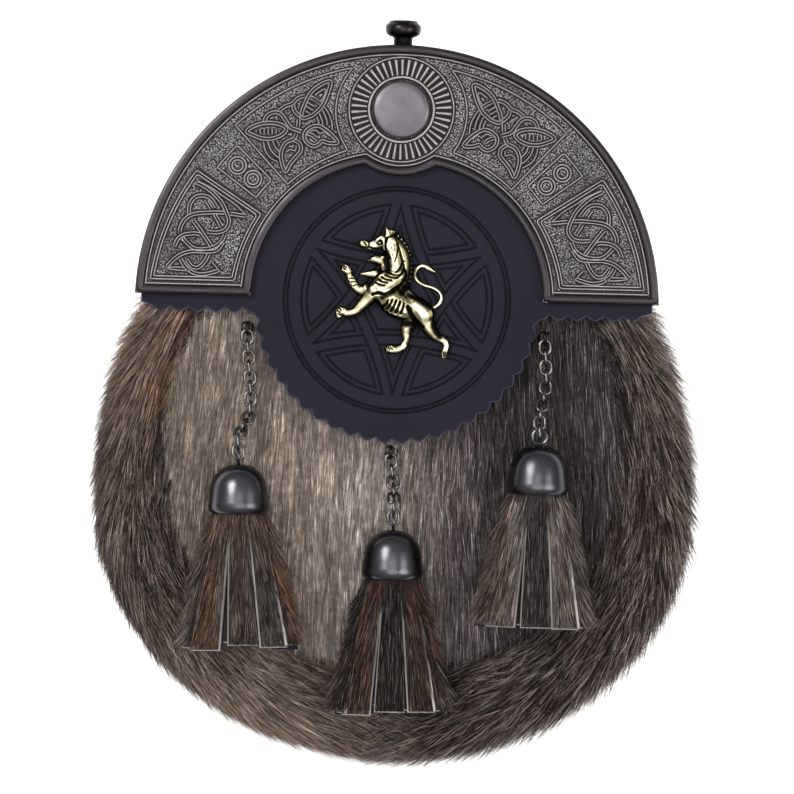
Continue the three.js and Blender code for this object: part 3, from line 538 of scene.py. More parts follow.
def insideRim(x, y, grow):
    reach = np.where(y > pouch["widestY"], pouch["upper"], pouch["lower"]) + grow
    return (x / (pouch["halfWidth"] + grow)) ** 2 + ((y - pouch["widestY"]) / reach) ** 2 < 1


# Back panel and pouch wall

backSet = {"bevel": 0.6, "inset": 1.6, "thickness": 2.0}
outline = wholeOutline(-backSet["inset"])
back = newPiece("backPanel", [(x, y, 0.0) for x, y in outline], faces=[range(len(outline))])
raised(back, backSet["thickness"])
soft = back.modifiers.new("soft", "BEVEL")
soft.width = backSet["bevel"] * mm
soft.segments = 2
soft.limit_method = "ANGLE"
applyAll(back)
cleanMesh(back, 50)
settle(paint(back, backLeather), "sporran", "back_leather", "back_panel")

wallSet = {"flange": 9.0, "thickness": 2.2, "archFrom": 22.0, "archRise": 10.0}
# Each level: how far out, its height round the bag and its height round the arch
levels = [(0.0, 2.3, 2.3), (0.0, 20.0, 20.0), (0.0, 31.0, 36.0), (-0.7, 32.3, 37.5), (-2.0, 32.9, 38.1),
          (-5.0, 33.0, 38.2), (-wallSet["flange"], 33.0, 38.2)]
rings = []
for grow, lowZ, highZ in levels:
    ring = wholeOutline(grow)
    lift = np.clip((ring[:, 1] - wallSet["archFrom"]) / wallSet["archRise"], 0, 1)
    rings.append(np.column_stack([ring, lowZ + (highZ - lowZ) * lift]))
wall = newPiece("pouchWall", np.vstack(rings), ringFaces(len(rings), len(rings[0])))
cleanMesh(wall)
thickened(wall, wallSet["thickness"], True)
cleanMesh(wall, 50)
settle(paint(wall, hideLeather), "sporran", "hide", "pouch_shell")
print("pouch wall ready")


# Front hide and its coat of pale hair

def hairMesh(name, paths, normals, width, colours, bent=True):
    # Each hair is a closed three-sided blade: a root ring, a middle ring if it is bent, and a tip.
    count, rings = len(paths), 2 if bent else 1
    size = rings * 3 + 1
    ahead = paths[:, 1] - paths[:, 0]
    side = unitRows(np.cross(ahead, normals), 1e-9)
    up = unitRows(np.cross(side, ahead), 1e-9)
    where = np.empty((count, size, 3))
    shades = np.ones((count, size, 4))
    for k in range(3):
        turn = math.tau * k / 3
        spread = (side * math.cos(turn) + up * math.sin(turn)) * width[:, None]
        for ring in range(rings):
            where[:, ring * 3 + k] = paths[:, ring] + spread * (0.5, 0.42)[ring]
            shades[:, ring * 3 + k, :3] = colours[:, ring]
    where[:, -1] = paths[:, -1]
    shades[:, -1, :3] = colours[:, -1]
    if bent:
        corner = [0, 2, 1, 0, 1, 4, 3, 1, 2, 5, 4, 2, 0, 3, 5, 3, 4, 6, 4, 5, 6, 5, 3, 6]
        sizes = np.tile([3, 4, 4, 4, 3, 3, 3], count)
    else:
        corner = [0, 2, 1, 0, 1, 3, 1, 2, 3, 2, 0, 3]
        sizes = np.tile([3, 3, 3, 3], count)
    loops = (np.array(corner)[None] + size * np.arange(count)[:, None]).ravel()
    mesh = bpy.data.meshes.new(name)
    mesh.vertices.add(count * size)
    mesh.vertices.foreach_set("co", (where * mm).ravel())
    mesh.loops.add(len(loops))
    mesh.loops.foreach_set("vertex_index", loops)
    mesh.polygons.add(len(sizes))
    mesh.polygons.foreach_set("loop_start", np.concatenate([[0], np.cumsum(sizes)[:-1]]))
    mesh.update(calc_edges=True)
    mesh.validate()
    tint = mesh.attributes.new("tint", "FLOAT_COLOR", "POINT")
    tint.data.foreach_set("color", shades.ravel())
    mesh.polygons.foreach_set("use_smooth", np.ones(len(sizes), bool))
    return linked(name, mesh)


def paintTint(piece, colours):
    tint = piece.data.attributes.new("tint", "FLOAT_COLOR", "POINT")
    tint.data.foreach_set("color", np.column_stack([colours, np.ones(len(colours))]).ravel())


def slowNoise(x, y, scale, seed):
    # Smooth wandering value between -1 and 1
    pick = np.random.default_rng(seed)
    total = np.zeros_like(x)
    for _ in range(6):
        ax, ay, ph = pick.normal(size=3)
        total += np.sin((x * ax + y * ay) / scale + ph * 6)
    return total / 6


def leaders(u, v, count):
    # The first hairs lead a lock each; every hair follows the nearest one
    tree = KDTree(count)
    for k in range(count):
        tree.insert((u[k], v[k], 0), k)
    tree.balance()
    return np.array([tree.find((a, b, 0))[1] for a, b in zip(u, v)])


def shadesAlong(base, strand, tones):
    # The colour of each ring of each hair, from root to tip
    return base[..., None, :] * strand[:, None, None] * np.array(tones)[None, :, None]


def blendShades(value, stops, shades):
    table = np.array([linear(*s) for s in shades])
    return np.stack([np.interp(value, stops, table[:, c]) for c in range(3)], 1)


coatSet = {"hairs": 36000, "tries": 140000, "length": (11, 21), "width": 0.25, "lift": 2.0, "streak": 0.5,
           "locks": 9000, "gather": 0.86, "bed": 2.2, "bedHalf": (96, 79), "bedY": -43, "underFlap": 38.2,
           "flapShade": 0.32, "flapShadeReach": 3.6, "rootTone": 0.88, "tipTone": 1.25}
flapLobe = {"y": 33.0, "radius": 50.3, "hem": 27.2}


def coatShade(x, y):
    across = blendShades(x, [-85, -60, -30, -4, 20, 40, 85], [
        (150, 137, 127), (162, 148, 137), (178, 163, 152), (198, 184, 176), (126, 115, 113), (80, 74, 73),
        (78, 72, 71)])
    high = np.clip((y + 24) / 45, 0, 1)[:, None] * np.clip((-x - 18) / 30, 0, 1)[:, None]
    return across * (1 + 0.1 * high) * (1 + 0.16 * slowNoise(x * 2.2, y * 0.5, 9, 3))[:, None]


bpy.ops.mesh.primitive_grid_add(x_subdivisions=96, y_subdivisions=86, size=2)
bed = bpy.context.object
bed.name = "coatBed"
where = pointsOf(bed) * mm
where[:, 0] *= coatSet["bedHalf"][0]
where[:, 1] = coatSet["bedY"] + where[:, 1] * coatSet["bedHalf"][1]
where[:, 2] = frontHeight(where[:, 0], where[:, 1]) + 0.5
setPoints(bed, where)
deleteVertices(bed, ~insideRim(where[:, 0], where[:, 1], -3.2))
thickened(bed, coatSet["bed"])
cleanMesh(bed, 60)
where = pointsOf(bed)
paintTint(bed, coatShade(where[:, 0], where[:, 1]) * 0.45)

x = rng.uniform(-92, 92, coatSet["tries"])
y = rng.uniform(-112, 31, coatSet["tries"])
fromLobe = np.hypot(x, y - flapLobe["y"])
hidden = (fromLobe < flapLobe["radius"] - 12) | (y > 30)
good = insideRim(x, y, np.interp(y, [-20, 25], [-13, -5])) & ~hidden
x, y = x[good][:coatSet["hairs"]], y[good][:coatSet["hairs"]]
n = len(x)
length = rng.uniform(*coatSet["length"], n)
lean = 0.12 * slowNoise(x, y, 16, 5) + rng.normal(0, 0.075, n) + 0.0012 * x
lean += 0.05 * np.sin(x * 1.7 + 2 * slowNoise(x, y, 20, 8))
ahead = np.stack([np.sin(lean), -np.cos(lean), np.zeros(n)], 1)
root = np.column_stack([x, y, frontHeight(x, y) + 0.4])
tip = root + ahead * length[:, None]
tip[:, 2] = frontHeight(tip[:, 0], tip[:, 1]) + rng.uniform(0.9, coatSet["lift"] + 0.9, n)

# Hair under the flap lies low; the rest gathers into locks.
tipFromLobe = np.hypot(tip[:, 0], tip[:, 1] - flapLobe["y"])
under = (tipFromLobe < flapLobe["radius"] + 2) | (tip[:, 1] > flapLobe["hem"] - 2)
tip[under, 2] = np.minimum(tip[under, 2], coatSet["underFlap"])
lead = leaders(x, y * 0.35, coatSet["locks"])
gathered = tip[lead] + (root - root[lead]) * coatSet["gather"]
reach = rng.uniform(0.7, 1.05, n)[:, None]
gathered = root + (gathered - root) * reach + rng.normal(0, 0.22, (n, 3)) * np.array([1, 1, 0])
tip[~under] = gathered[~under]

# Tone: a painted shadow of the flap beside its edge, streaks, and dark and pale hairs among the rest
fromEdge = np.minimum(np.hypot(x, y - flapLobe["y"]) - flapLobe["radius"], flapLobe["hem"] - y)
fromFlap = np.maximum(np.where(y < flapLobe["hem"], fromEdge, 0), 0)
shaded = coatSet["flapShade"] * np.exp(-((fromFlap / coatSet["flapShadeReach"]) ** 2))
base = coatShade(x, y) * (1 - shaded)[:, None]
streak = slowNoise(x, y * 0.05, 0.3, 61) + 0.8 * slowNoise(x, y * 0.07, 1.1, 62)
strand = np.exp(rng.normal(0, 0.34, n) + rng.normal(0, 0.1, n)[lead] + coatSet["streak"] * streak)
dark = rng.random(n) < np.interp(x, [-80, 0, 30, 80], [0.12, 0.15, 0.5, 0.5])
strand[dark] *= np.interp(x[dark], [0, 30], [0.3, 0.18])
bright = rng.random(n) < np.interp(x, [0, 30], [0.12, 0.28])
strand *= np.where(bright, np.interp(x, [0, 30], [1.35, 3.6]), 1)
colours = shadesAlong(base, strand, [coatSet["rootTone"], coatSet["tipTone"]])
coat = hairMesh("coatHair", np.stack([root, tip], 1), np.tile([0, 0, 1.0], (n, 1)),
                rng.uniform(0.7, 1.2, n) * coatSet["width"], np.clip(colours, 0.004, 0.95), False)
coat = paint(joinPieces("frontCoat", [coat, bed]), paleFur)
settle(coat, "sporran", "pale_fur", "fur_front")
print("front coat ready", len(coat.data.polygons))


# Rolled border of darker hair

rollSet = {"hairs": 48000, "bent": 0.4, "length": (13, 23), "width": 0.31, "from": 39.0, "to": -219.0,
           "pale": 0.3, "paleMiddle": (168, 151, 142), "paleTip": (222, 207, 198), "locks": 9000,
           "follow": 0.6, "topShare": 0.88, "topEnd": 0.62, "darkShare": 0.46, "darkTone": 0.2,
           "tones": (0.34, 0.85, 1.4), "section": 62, "rustAt": -211, "rustWidth": 13}


def innerEdge(turn):
    s = np.sin(turn)
    return np.where(s > 0, -16.5 + 13.3 * s, -16.5 + 5.5 * s)


def rollPoint(turn, s, shift=0.0):
    edge = innerEdge(turn) - shift
    stops = np.array([0, 0.1, 0.25, 0.38, 0.52, 0.66, 0.8, 0.92, 1.0])
    ns = [edge, edge * 0.83, edge * 0.42, edge * 0.05, 1.9, 3.4, 3.4, 2.2, 0.6]
    zs = [34.8, 36.4, 37.9, 37.1, 32.6, 24.0, 14.0, 6.5, 4.2]
    ns = np.stack([np.broadcast_to(v, turn.shape) for v in ns])
    zs = np.stack([np.broadcast_to(v, turn.shape) for v in zs])
    k = np.clip(np.searchsorted(stops, s, side="right") - 1, 0, len(stops) - 2)
    t = (s - stops[k]) / (stops[k + 1] - stops[k])
    pick = np.arange(len(turn))
    t = np.clip(t, 0, 1)
    grow = ns[k, pick] * (1 - t) + ns[k + 1, pick] * t
    z = zs[k, pick] * (1 - t) + zs[k + 1, pick] * t
    px, py = rimPoint(turn, grow)
    return np.column_stack([px, py, z])


def rollNormal(turn, s):
    along = rollPoint(turn + 0.01, s) - rollPoint(turn - 0.01, s)
    across = rollPoint(turn, np.clip(s + 0.03, 0, 1)) - rollPoint(turn, np.clip(s - 0.03, 0, 1))
    normal = unitRows(np.cross(along, across), 1e-9)
    outward = np.column_stack([np.cos(turn), np.sin(turn), np.full(len(turn), 0.6)])
    return normal * np.sign((normal * outward).sum(1, keepdims=True) + 1e-9)


def rollShade(turn):
    stops = [-219, -205, -190, -165, -145, -125, -105, -90, -75, -50, -20, 10, 39]
    return blendShades(np.degrees(turn), stops, [
        (158, 134, 122), (149, 122, 105), (116, 97, 89), (100, 83, 78), (129, 110, 100), (168, 147, 134),
        (145, 124, 114), (114, 96, 91), (78, 62, 57), (68, 54, 50), (76, 60, 56), (80, 64, 59), (92, 76, 70)])


turns = np.radians(np.linspace(rollSet["from"], rollSet["to"], 150))
outerS = np.linspace(0, 1, 17)
loops = []
for t in turns:
    edge = float(innerEdge(np.array(t)))
    inner = []
    for grow, z in ((0.7, 12.0), (0.7, 24.0), (0.5, 33.4), (-5.0, 34.6), (edge * 0.6, 34.7)):
        px, py = rimPoint(np.array(t), grow)
        inner.append((float(px), float(py), z))
    loops.append(np.vstack([rollPoint(np.full(len(outerS), t), outerS), inner]))
count = len(loops[0])
faces = ringFaces(len(loops), count)
faces += [tuple(range(count)), tuple(range((len(loops) - 1) * count, len(loops) * count))]
rollBed = newPiece("borderRoll", np.vstack(loops), faces)
cleanMesh(rollBed, 60)
where = pointsOf(rollBed)
around = np.arctan2((where[:, 1] - pouch["widestY"]) * 1.05, where[:, 0])
around = np.where(around > math.radians(45), around - math.tau, around)
paintTint(rollBed, rollShade(around) * 0.3)

n = rollSet["hairs"]
turn = np.radians(rng.uniform(rollSet["to"], rollSet["from"] + 2, n))
onTop = rng.random(n) < rollSet["topShare"]
s = np.where(onTop, rng.uniform(-0.02, rollSet["topEnd"], n), rng.uniform(rollSet["topEnd"], 0.95, n))
shift = rng.uniform(0, 5.5, n) * np.clip(1 - s / 0.16, 0, 1)
fromBottom = turn + math.pi / 2
way = -np.sign(fromBottom)
length = rng.uniform(*rollSet["length"], n)
middleNess = np.exp(-((np.degrees(fromBottom) / 13) ** 2))
fan = np.radians(-2 + 32 * np.clip(s / 0.6, 0, 1)) + rng.normal(0, 0.14, n) + 0.22 * middleNess
fan += 0.2 * slowNoise(np.degrees(turn), s * 40, 3.5, 21)
speed = np.hypot(pouch["halfWidth"] * np.sin(turn),
                 np.where(np.sin(turn) > 0, pouch["upper"], pouch["lower"]) * np.cos(turn)) + 6
turnStep = way * length * np.cos(fan) / speed
sectionStep = length * np.sin(fan) / rollSet["section"]
puff = 0.75 + 0.75 * np.exp(-(((s - 0.5) / 0.16) ** 2))
fuller = np.interp(np.degrees(turn), [-219, -205, -190, -95, -70, 20, 39],
                   [1.9, 1.6, 1.1, 1.0, 1.55, 1.55, 1.9])
puff *= 1 + (fuller - 1) * np.clip((s - 0.25) / 0.15, 0, 1)
loft = rng.random(n)
steps = []
for share, low, high in ((0.0, 0.0, 0.2), (0.5, 0.7, 1.9), (1.0, 0.4, 4.6)):
    t2 = turn + turnStep * share
    s2 = np.clip(s + sectionStep * share, 0, 1)
    lift = (low + (high - low) * loft ** (1.7 if share == 1 else 1)) * (puff if share else 1)
    steps.append(rollPoint(t2, s2, shift * (1 - share)) + rollNormal(t2, s2) * lift[:, None])
lead = leaders(turn * 112, s * rollSet["section"], rollSet["locks"])
away = steps[0] - steps[0][lead]
follow = (0.75 * (rng.random(n) < rollSet["follow"]) * np.interp(s, [0.35, 0.55], [1, 0.5]))[:, None]
reach = rng.uniform(0.7, 1.06, n)[:, None]
steps[1] += follow * (steps[1][lead] + away * 0.7 - steps[1])
steps[2] += follow * (steps[2][lead] + away * 0.4 + rng.normal(0, 0.3, (n, 3)) - steps[2])
steps[2] = steps[1] + (steps[2] - steps[1]) * reach
lock = slowNoise(np.degrees(turn) * 1.6 + s * 12, s * 26, 1.5, 31)
lock += 0.7 * slowNoise(np.degrees(turn), s * 40, 5, 32)
# Painted shade: darker at the roll's inner edge where it meets the coat, and painted light on its rounded
# outer side
depth = np.interp(s, [0, 0.1, 0.28, 0.45, 0.6, 0.9], [0.62, 0.5, 0.66, 1.0, 1.6, 1.6])
rust = np.exp(-(((np.degrees(turn) - rollSet["rustAt"]) / rollSet["rustWidth"]) ** 2))
rust *= np.clip(1.3 - np.abs(s - 0.08) / 0.16, 0, 1)
base = rollShade(turn) * (depth * np.exp(0.55 * lock))[:, None]
base = base * (1 + rust[:, None] * np.array([0.75, 0.25, 0.0]))
strand = np.exp(rng.normal(0, 0.34, n) + rng.normal(0, 0.2, n)[lead])
strand[rng.random(n) < rollSet["darkShare"]] *= rollSet["darkTone"]
colours = shadesAlong(base, strand, rollSet["tones"])
pale = rng.random(n) < rollSet["pale"]
paleness = rng.uniform(0.4, 1.2, n)[pale, None]
colours[pale, 1] = colours[pale, 1] * 0.4 + linear(*rollSet["paleMiddle"]) * 0.8 * paleness
colours[pale, 2] = linear(*rollSet["paleTip"]) * paleness
colours = np.clip(colours, 0.004, 0.95)
paths = np.stack(steps, 1)
width = rng.uniform(0.7, 1.2, n) * rollSet["width"] * np.where(pale, 0.85, 1.0)
normals = rollNormal(turn, s)
leftSide = fromBottom < 0
bent = np.arange(n) < n * rollSet["bent"]
halves = []
for label, pick in (("Left", leftSide), ("Right", ~leftSide)):
    top, low = pick & bent, pick & ~bent
    long = hairMesh("long", paths[top], normals[top], width[top], colours[top])
    short = hairMesh("short", paths[low][:, [0, 2]], normals[low], width[low], colours[low][:, [0, 2]], False)
    halves.append(joinPieces("borderHair" + label, [long, short]))
for piece in (rollBed, *halves):
    settle(paint(piece, darkFur), "sporran", "dark_fur", "fur_border")
print("border ready")


# Flap with its pinked edge and pressed lines

flapSet = {"top": 40.8, "thickness": 2.0, "archRadius": 89.3, "archY": 30.3, "sideX": 85.6, "pitch": 6.4,
           "tooth": 1.9, "cell": 0.38, "toolRadius": 41.4, "toolY": 32.7, "lineWidth": 0.3, "lineDepth": 0.42,
           "cutSlant": 0.4, "rings": (39.6, 38.3), "starTurn": -1.3, "band": 3.5, "bandAway": 14.0,
           "bandBow": 0.00526, "fieldRadius": 33.4, "fieldInset": 1.85, "slotHalf": 5.4, "slotTop": 102.0}

hem = flapLobe["hem"]
sideAngle = math.asin((flapLobe["y"] - hem) / flapLobe["radius"])
lobeX = flapLobe["radius"] * math.cos(sideAngle)
straight = np.linspace(flapSet["sideX"], lobeX, 60)[:-1]
lobe = np.linspace(-sideAngle, -math.pi + sideAngle, 220)
run = np.vstack([
    np.column_stack([straight, np.full(59, hem)]),
    np.column_stack([flapLobe["radius"] * np.cos(lobe), flapLobe["y"] + flapLobe["radius"] * np.sin(lobe)]),
    np.column_stack([-straight[::-1], np.full(59, hem)]),
])
gone = travelled(run)
teeth = int(round(gone[-1] / flapSet["pitch"]))
marks = np.linspace(0, gone[-1], teeth * 4 + 1)
along = pathAt(run, gone, marks)
ahead = unitRows(np.gradient(along, axis=0))
notch = np.array([0.0, 0.62, 1.0, 0.62])[np.arange(len(marks)) % 4] * flapSet["tooth"] - flapSet["tooth"]
along = along + np.column_stack([ahead[:, 1], -ahead[:, 0]]) * notch[:, None] * -1
arch = np.linspace(math.pi, 0, 74)
rise = np.column_stack([flapSet["archRadius"] * np.cos(arch),
                        flapSet["archY"] + flapSet["archRadius"] * np.sin(arch)])
# A slot at the top leaves room for the knob's stem.
half = flapSet["slotHalf"]
left, right = rise[rise[:, 0] < -half - 0.2], rise[rise[:, 0] > half + 0.2]
notchTop = [(-half, left[-1, 1] + 0.1), (-half, flapSet["slotTop"]), (half, flapSet["slotTop"]),
            (half, right[0, 1] + 0.1)]
edge = np.vstack([along, left, notchTop, right])
cells = int(2 * flapSet["toolRadius"] / flapSet["cell"])
bpy.ops.mesh.primitive_grid_add(x_subdivisions=cells, y_subdivisions=cells,
                                size=2 * flapSet["toolRadius"] * mm,
                                location=(0, flapSet["toolY"] * mm, flapSet["top"] * mm))
flap = bpy.context.object
bpy.ops.object.transform_apply(location=True, rotation=True, scale=True)
where = pointsOf(flap)
deleteVertices(flap, np.hypot(where[:, 0], where[:, 1] - flapSet["toolY"]) > flapSet["toolRadius"] - 0.4)
loop = newPiece("flapEdge", [(px, py, flapSet["top"]) for px, py in edge],
                edges=[(i, (i + 1) % len(edge)) for i in range(len(edge))])
flap = joinPieces("flapSheet", [flap, loop])
focus(flap)
bpy.ops.object.mode_set(mode="EDIT")
bpy.ops.mesh.select_mode(type="EDGE")
bpy.ops.mesh.select_all(action="DESELECT")
bpy.ops.mesh.select_non_manifold(extend=False, use_wire=True, use_boundary=True, use_multi_face=False,
                                 use_non_contiguous=False, use_verts=False)
bpy.ops.mesh.fill(use_beauty=False)
bpy.ops.mesh.select_all(action="SELECT")
bpy.ops.mesh.normals_make_consistent(inside=False)
bpy.ops.object.mode_set(mode="OBJECT")
if sum(p.normal.z for p in flap.data.polygons) < 0:
    flap.data.flip_normals()


def lineDistance(where):
    # Two rings, then a star of six bowed bands that pass over and under, with a second line in every field
    x, y = where[:, 0], where[:, 1] - flapSet["toolY"]
    far = np.hypot(x, y)
    reach = np.min([np.abs(far - r) for r in flapSet["rings"]], axis=0)
    edges, alongs = [], []
    for k in range(6):
        turn = math.radians(30 + 60 * k + flapSet["starTurn"])
        along = y * math.cos(turn) - x * math.sin(turn)
        off = x * math.cos(turn) + y * math.sin(turn) - flapSet["bandAway"] - flapSet["bandBow"] * along**2
        edges.append(np.abs(off) / np.hypot(1, 2 * flapSet["bandBow"] * along) - flapSet["band"] / 2)
        alongs.append(along)
    field = np.minimum(np.min(edges, axis=0), flapSet["fieldRadius"] - far)
    reach = np.min([reach, np.abs(field), np.abs(field - flapSet["fieldInset"])], axis=0)
    for k in range(6):
        crossed = np.minimum(edges[k - 1], edges[(k + 1) % 6]) < 0
        over = crossed & (alongs[k] > 0) & (far < flapSet["fieldRadius"])
        reach = np.where(over, np.minimum(reach, np.abs(edges[k])), reach)
    return reach


where = pointsOf(flap)
tooled = np.hypot(where[:, 0], where[:, 1] - flapSet["toolY"]) < flapSet["toolRadius"] - 0.6
reach = np.full(len(where), 9.0)
reach[tooled] = lineDistance(where[tooled])
pressed = eased(np.clip(1 - reach / (2 * flapSet["lineWidth"]), 0, 1))
where[:, 2] -= pressed * flapSet["lineDepth"]
setPoints(flap, where)
groove = flap.data.attributes.new("groove", "FLOAT", "POINT")
groove.data.foreach_set("value", pressed.astype(np.float32))
paint(flap, flapLeather, cutEdge)

# The cut edge slants out to a slightly larger underside.
count = len(edge)
area = (edge[:, 0] * np.roll(edge[:, 1], -1) - edge[:, 1] * np.roll(edge[:, 0], -1)).sum() / 2
wider = insetLoop(edge, -flapSet["cutSlant"] * np.sign(area))
rows = np.vstack([np.column_stack([edge, np.full(count, flapSet["top"])]),
                  np.column_stack([wider, np.full(count, flapSet["top"] - flapSet["thickness"])])])
faces = ringFaces(2, count) + [range(count, 2 * count)]
under = paint(newPiece("flapUnder", rows, faces), flapLeather, cutEdge)
for p in under.data.polygons:
    p.material_index = 1 if len(p.vertices) == 4 else 0
flap = joinPieces("flapSheet", [flap, under])
cleanMesh(flap, 35)
settle(flap, "sporran", "flap_leather", "flap")
print("flap ready", len(flap.data.polygons))


# Cantle: ground plate, rims, frames, knots and sunburst

cantleSet = {"radius": 91.7, "y": 30.3, "end": 33.1, "back": 41.1, "ground": 43.3, "rim": 2.9, "step": 3.5,
             "openRadius": 47.6, "openX": 3.5, "bossY": 99.3, "lobe": 23.1, "skirtBack": 30.0,
             "skirtInset": 0.25, "skirtWall": 1.8}


def polar(radius, degrees):
    turn = np.radians(degrees)
    return np.column_stack([radius * np.cos(turn), cantleSet["y"] + radius * np.sin(turn)])


endAngle = math.degrees(math.asin((cantleSet["end"] - cantleSet["y"]) / cantleSet["radius"]))


def cantleOutline():
    outer = polar(np.full(181, cantleSet["radius"]), np.linspace(endAngle, 180 - endAngle, 181))
    # Inner edge: a quarter arch each side, and the round lobe below the boss between them
    centre = np.array([cantleSet["openX"], cantleSet["end"]])
    boss = np.array([0.0, cantleSet["bossY"]])
    away = np.linalg.norm(boss - centre)
    reachIn = (cantleSet["openRadius"]**2 - cantleSet["lobe"]**2 + away**2) / (2 * away)
    toward = (boss - centre) / away
    side = np.array([toward[1], -toward[0]])
    cusp = centre + toward * reachIn + side * math.sqrt(cantleSet["openRadius"]**2 - reachIn**2)
    topAngle = math.atan2(cusp[1] - centre[1], cusp[0] - centre[0])
    arc = np.linspace(0, topAngle, 60)
    rightArc = centre + cantleSet["openRadius"] * np.column_stack([np.cos(arc), np.sin(arc)])
    low = math.atan2(cusp[1] - boss[1], cusp[0] - boss[0])
    lobeArc = np.linspace(low, -math.pi - low, 50)[1:-1]
    middle = boss + cantleSet["lobe"] * np.column_stack([np.cos(lobeArc), np.sin(lobeArc)])
    leftArc = rightArc[::-1] * np.array([-1, 1])
    inner = np.vstack([rightArc, middle, leftArc])[::-1]
    return np.vstack([outer, inner])


def atHeight(path, z, share=None):
    return np.column_stack([path, np.full(len(path), z)] + ([] if share is None else [share]))


def spaced(path, step, closed=False):
    if closed:
        path = np.vstack([path, path[:1]])
    gone = travelled(path)
    marks = np.linspace(0, gone[-1], max(3, int(gone[-1] / step)) + 1)
    if closed:
        marks = marks[:-1]
    return pathAt(path, gone, marks)


ground = cantleSet["ground"]
border = cantleOutline()
plate = newPiece("cantlePlate", atHeight(border, cantleSet["back"]), faces=[range(len(border))])
raised(plate, ground - cantleSet["back"])
cleanMesh(plate, 30)
metalParts = [paint(plate, pewter)]


def squashed(piece, level, share):
    rows = pointsOf(piece)
    rows[:, 2] = level + (rows[:, 2] - level) * share
    setPoints(piece, rows)
    return piece


def reliefLines(name, paths, rise, radius, closed, shadeMargin=0.5):
    # Bright ridges, each on a flat dark ribbon of painted shade that stands for the shade in the hollow
    # beside it
    flat = [atHeight(p[:, :2], ground) for p in paths]
    shadow = squashed(tube(name + "Shadow", flat, radius + shadeMargin, 0, closed), ground, 0.05)
    crests = [atHeight(p[:, :2], ground + rise + (p[:, 2] if p.shape[1] > 2 else 0)) for p in paths]
    ridges = tube(name, crests, radius, 1, closed)
    return [paint(shadow, pewterPaintedShade), paint(ridges, pewterLine)]


# Rim along the whole edge, and the step inside it
rimPath = spaced(insetLoop(border, cantleSet["rim"] / 2), 0.8, True)
rim = squashed(tube("cantleRim", [atHeight(rimPath, ground)], cantleSet["rim"] / 2, 3, True), ground, 0.6)
metalParts.append(paint(rim, pewterRim))
stepPath = spaced(insetLoop(border, cantleSet["step"]), 0.8, True)
metalParts += reliefLines("cantleStep", [stepPath], 0.05, 0.3, True)

# Skirt behind the arch
count = 121
angles = np.linspace(endAngle, 180 - endAngle, count)
outer = polar(np.full(count, cantleSet["radius"] - cantleSet["skirtInset"]), angles)
inner = polar(np.full(count, cantleSet["radius"] - cantleSet["skirtWall"]), angles)
low, high = cantleSet["skirtBack"], ground - 0.2
corners = np.vstack([atHeight(outer, low), atHeight(outer, high),
                     atHeight(inner, high), atHeight(inner, low)])
faces = [(k * count + i, k * count + i + 1, (k + 1) % 4 * count + i + 1, (k + 1) % 4 * count + i)
         for k in range(4) for i in range(count - 1)]
faces += [tuple(range(0, 4 * count, count)), tuple(range(count - 1, 4 * count, count))]
skirt = newPiece("cantleSkirt", corners, faces)
cleanMesh(skirt, 40)
paint(skirt, pewterRim)

panelSet = {"inner": 57.4, "upper": (85.0, 47.0, 78.3), "bend": 7.0, "square": (62.3, 79.4, 36.5, 44.0),
            "lowerOuter": 86.7, "lowerTop": 33.0, "foot": 5.0, "secondLine": 1.05, "cordAway": 0.95}


def panelLoop(r0, r1, a0, a1, bend=0.0):
    # A panel between two distances and two angles; bend pulls the end nearest the boss round it.
    outer = polar(np.full(30, r1), np.linspace(a0, a1, 30))
    end = polar(np.linspace(r1, r0, 20), np.full(20, a1))
    inner = polar(np.full(24, r0), np.linspace(a1 if not bend else a1 - bend, a0, 24))
    if bend:
        boss = np.array([0.0, cantleSet["bossY"]])
        s0 = outer[-1] - boss
        s1 = inner[0] - boss
        b0, b1 = math.atan2(s0[1], s0[0]), math.atan2(s1[1], s1[0])
        radius = np.linspace(np.hypot(*s0), np.hypot(*s1), 20)
        arc = np.linspace(b0, b1, 20)
        end = boss + np.column_stack([radius * np.cos(arc), radius * np.sin(arc)])
    side = polar(np.linspace(r0, r1, 14), np.full(14, a0))
    return np.vstack([outer, end[1:-1], inner, side[1:-1]])


def lowerPanel():
    # The panel by the end edge: its foot runs level with the end.
    foot = cantleSet["end"] + panelSet["foot"]
    r0, r1, high = panelSet["inner"], panelSet["lowerOuter"], panelSet["lowerTop"]
    a1 = math.degrees(math.asin((foot - cantleSet["y"]) / r1))
    a0 = math.degrees(math.asin((foot - cantleSet["y"]) / r0))
    outer = polar(np.linspace(r1, r1 - 2, 30), np.linspace(a1, high, 30))
    top = polar(np.linspace(r1 - 2, r0, 16), np.full(16, high))
    inner = polar(np.full(24, r0), np.linspace(high, a0, 24))
    base = np.linspace(0, 1, 16)[:, None]
    base = inner[-1] * (1 - base) + outer[0] * base
    return np.vstack([outer, top[1:-1], inner, base[1:-1]])


panels = [panelLoop(panelSet["inner"], *panelSet["upper"], panelSet["bend"]), panelLoop(*panelSet["square"]),
          lowerPanel()]


def mirrored(paths):
    return paths + [p * np.array([-1, 1] + [1] * (p.shape[1] - 2)) for p in paths]


frameLines = [spaced(p, 1.2, True) for p in (*panels, insetLoop(panels[2], panelSet["secondLine"]))]
metalParts += reliefLines("panelFrames", mirrored(frameLines), 0.1, 0.32, True, 0.4)

# A beaded cord outside the lower panel
cord = spaced(insetLoop(panels[2], -panelSet["cordAway"]), 0.5, True)
beads = atHeight(cord, ground + 0.05, 0.75 + 0.45 * np.sin(np.arange(len(cord)) * math.tau / 3))
metalParts.append(paint(tube("panelBeads", mirrored([beads]), 0.36, 0, True), pewterLine))

# Two small rings in the square panel
r0, r1, a0, a1 = panelSet["square"]
rings = []
for share in (0.29, 0.71):
    centre = polar(np.array([r0 + (r1 - r0) * share]), np.array([(a0 + a1) / 2]))[0]
    rings += [centre + radius * circle(24) for radius in (3.0, 1.9)]
metalParts += reliefLines("smallRings", mirrored(rings), 0.1, 0.36, True, 0.35)


# Interlaced knots

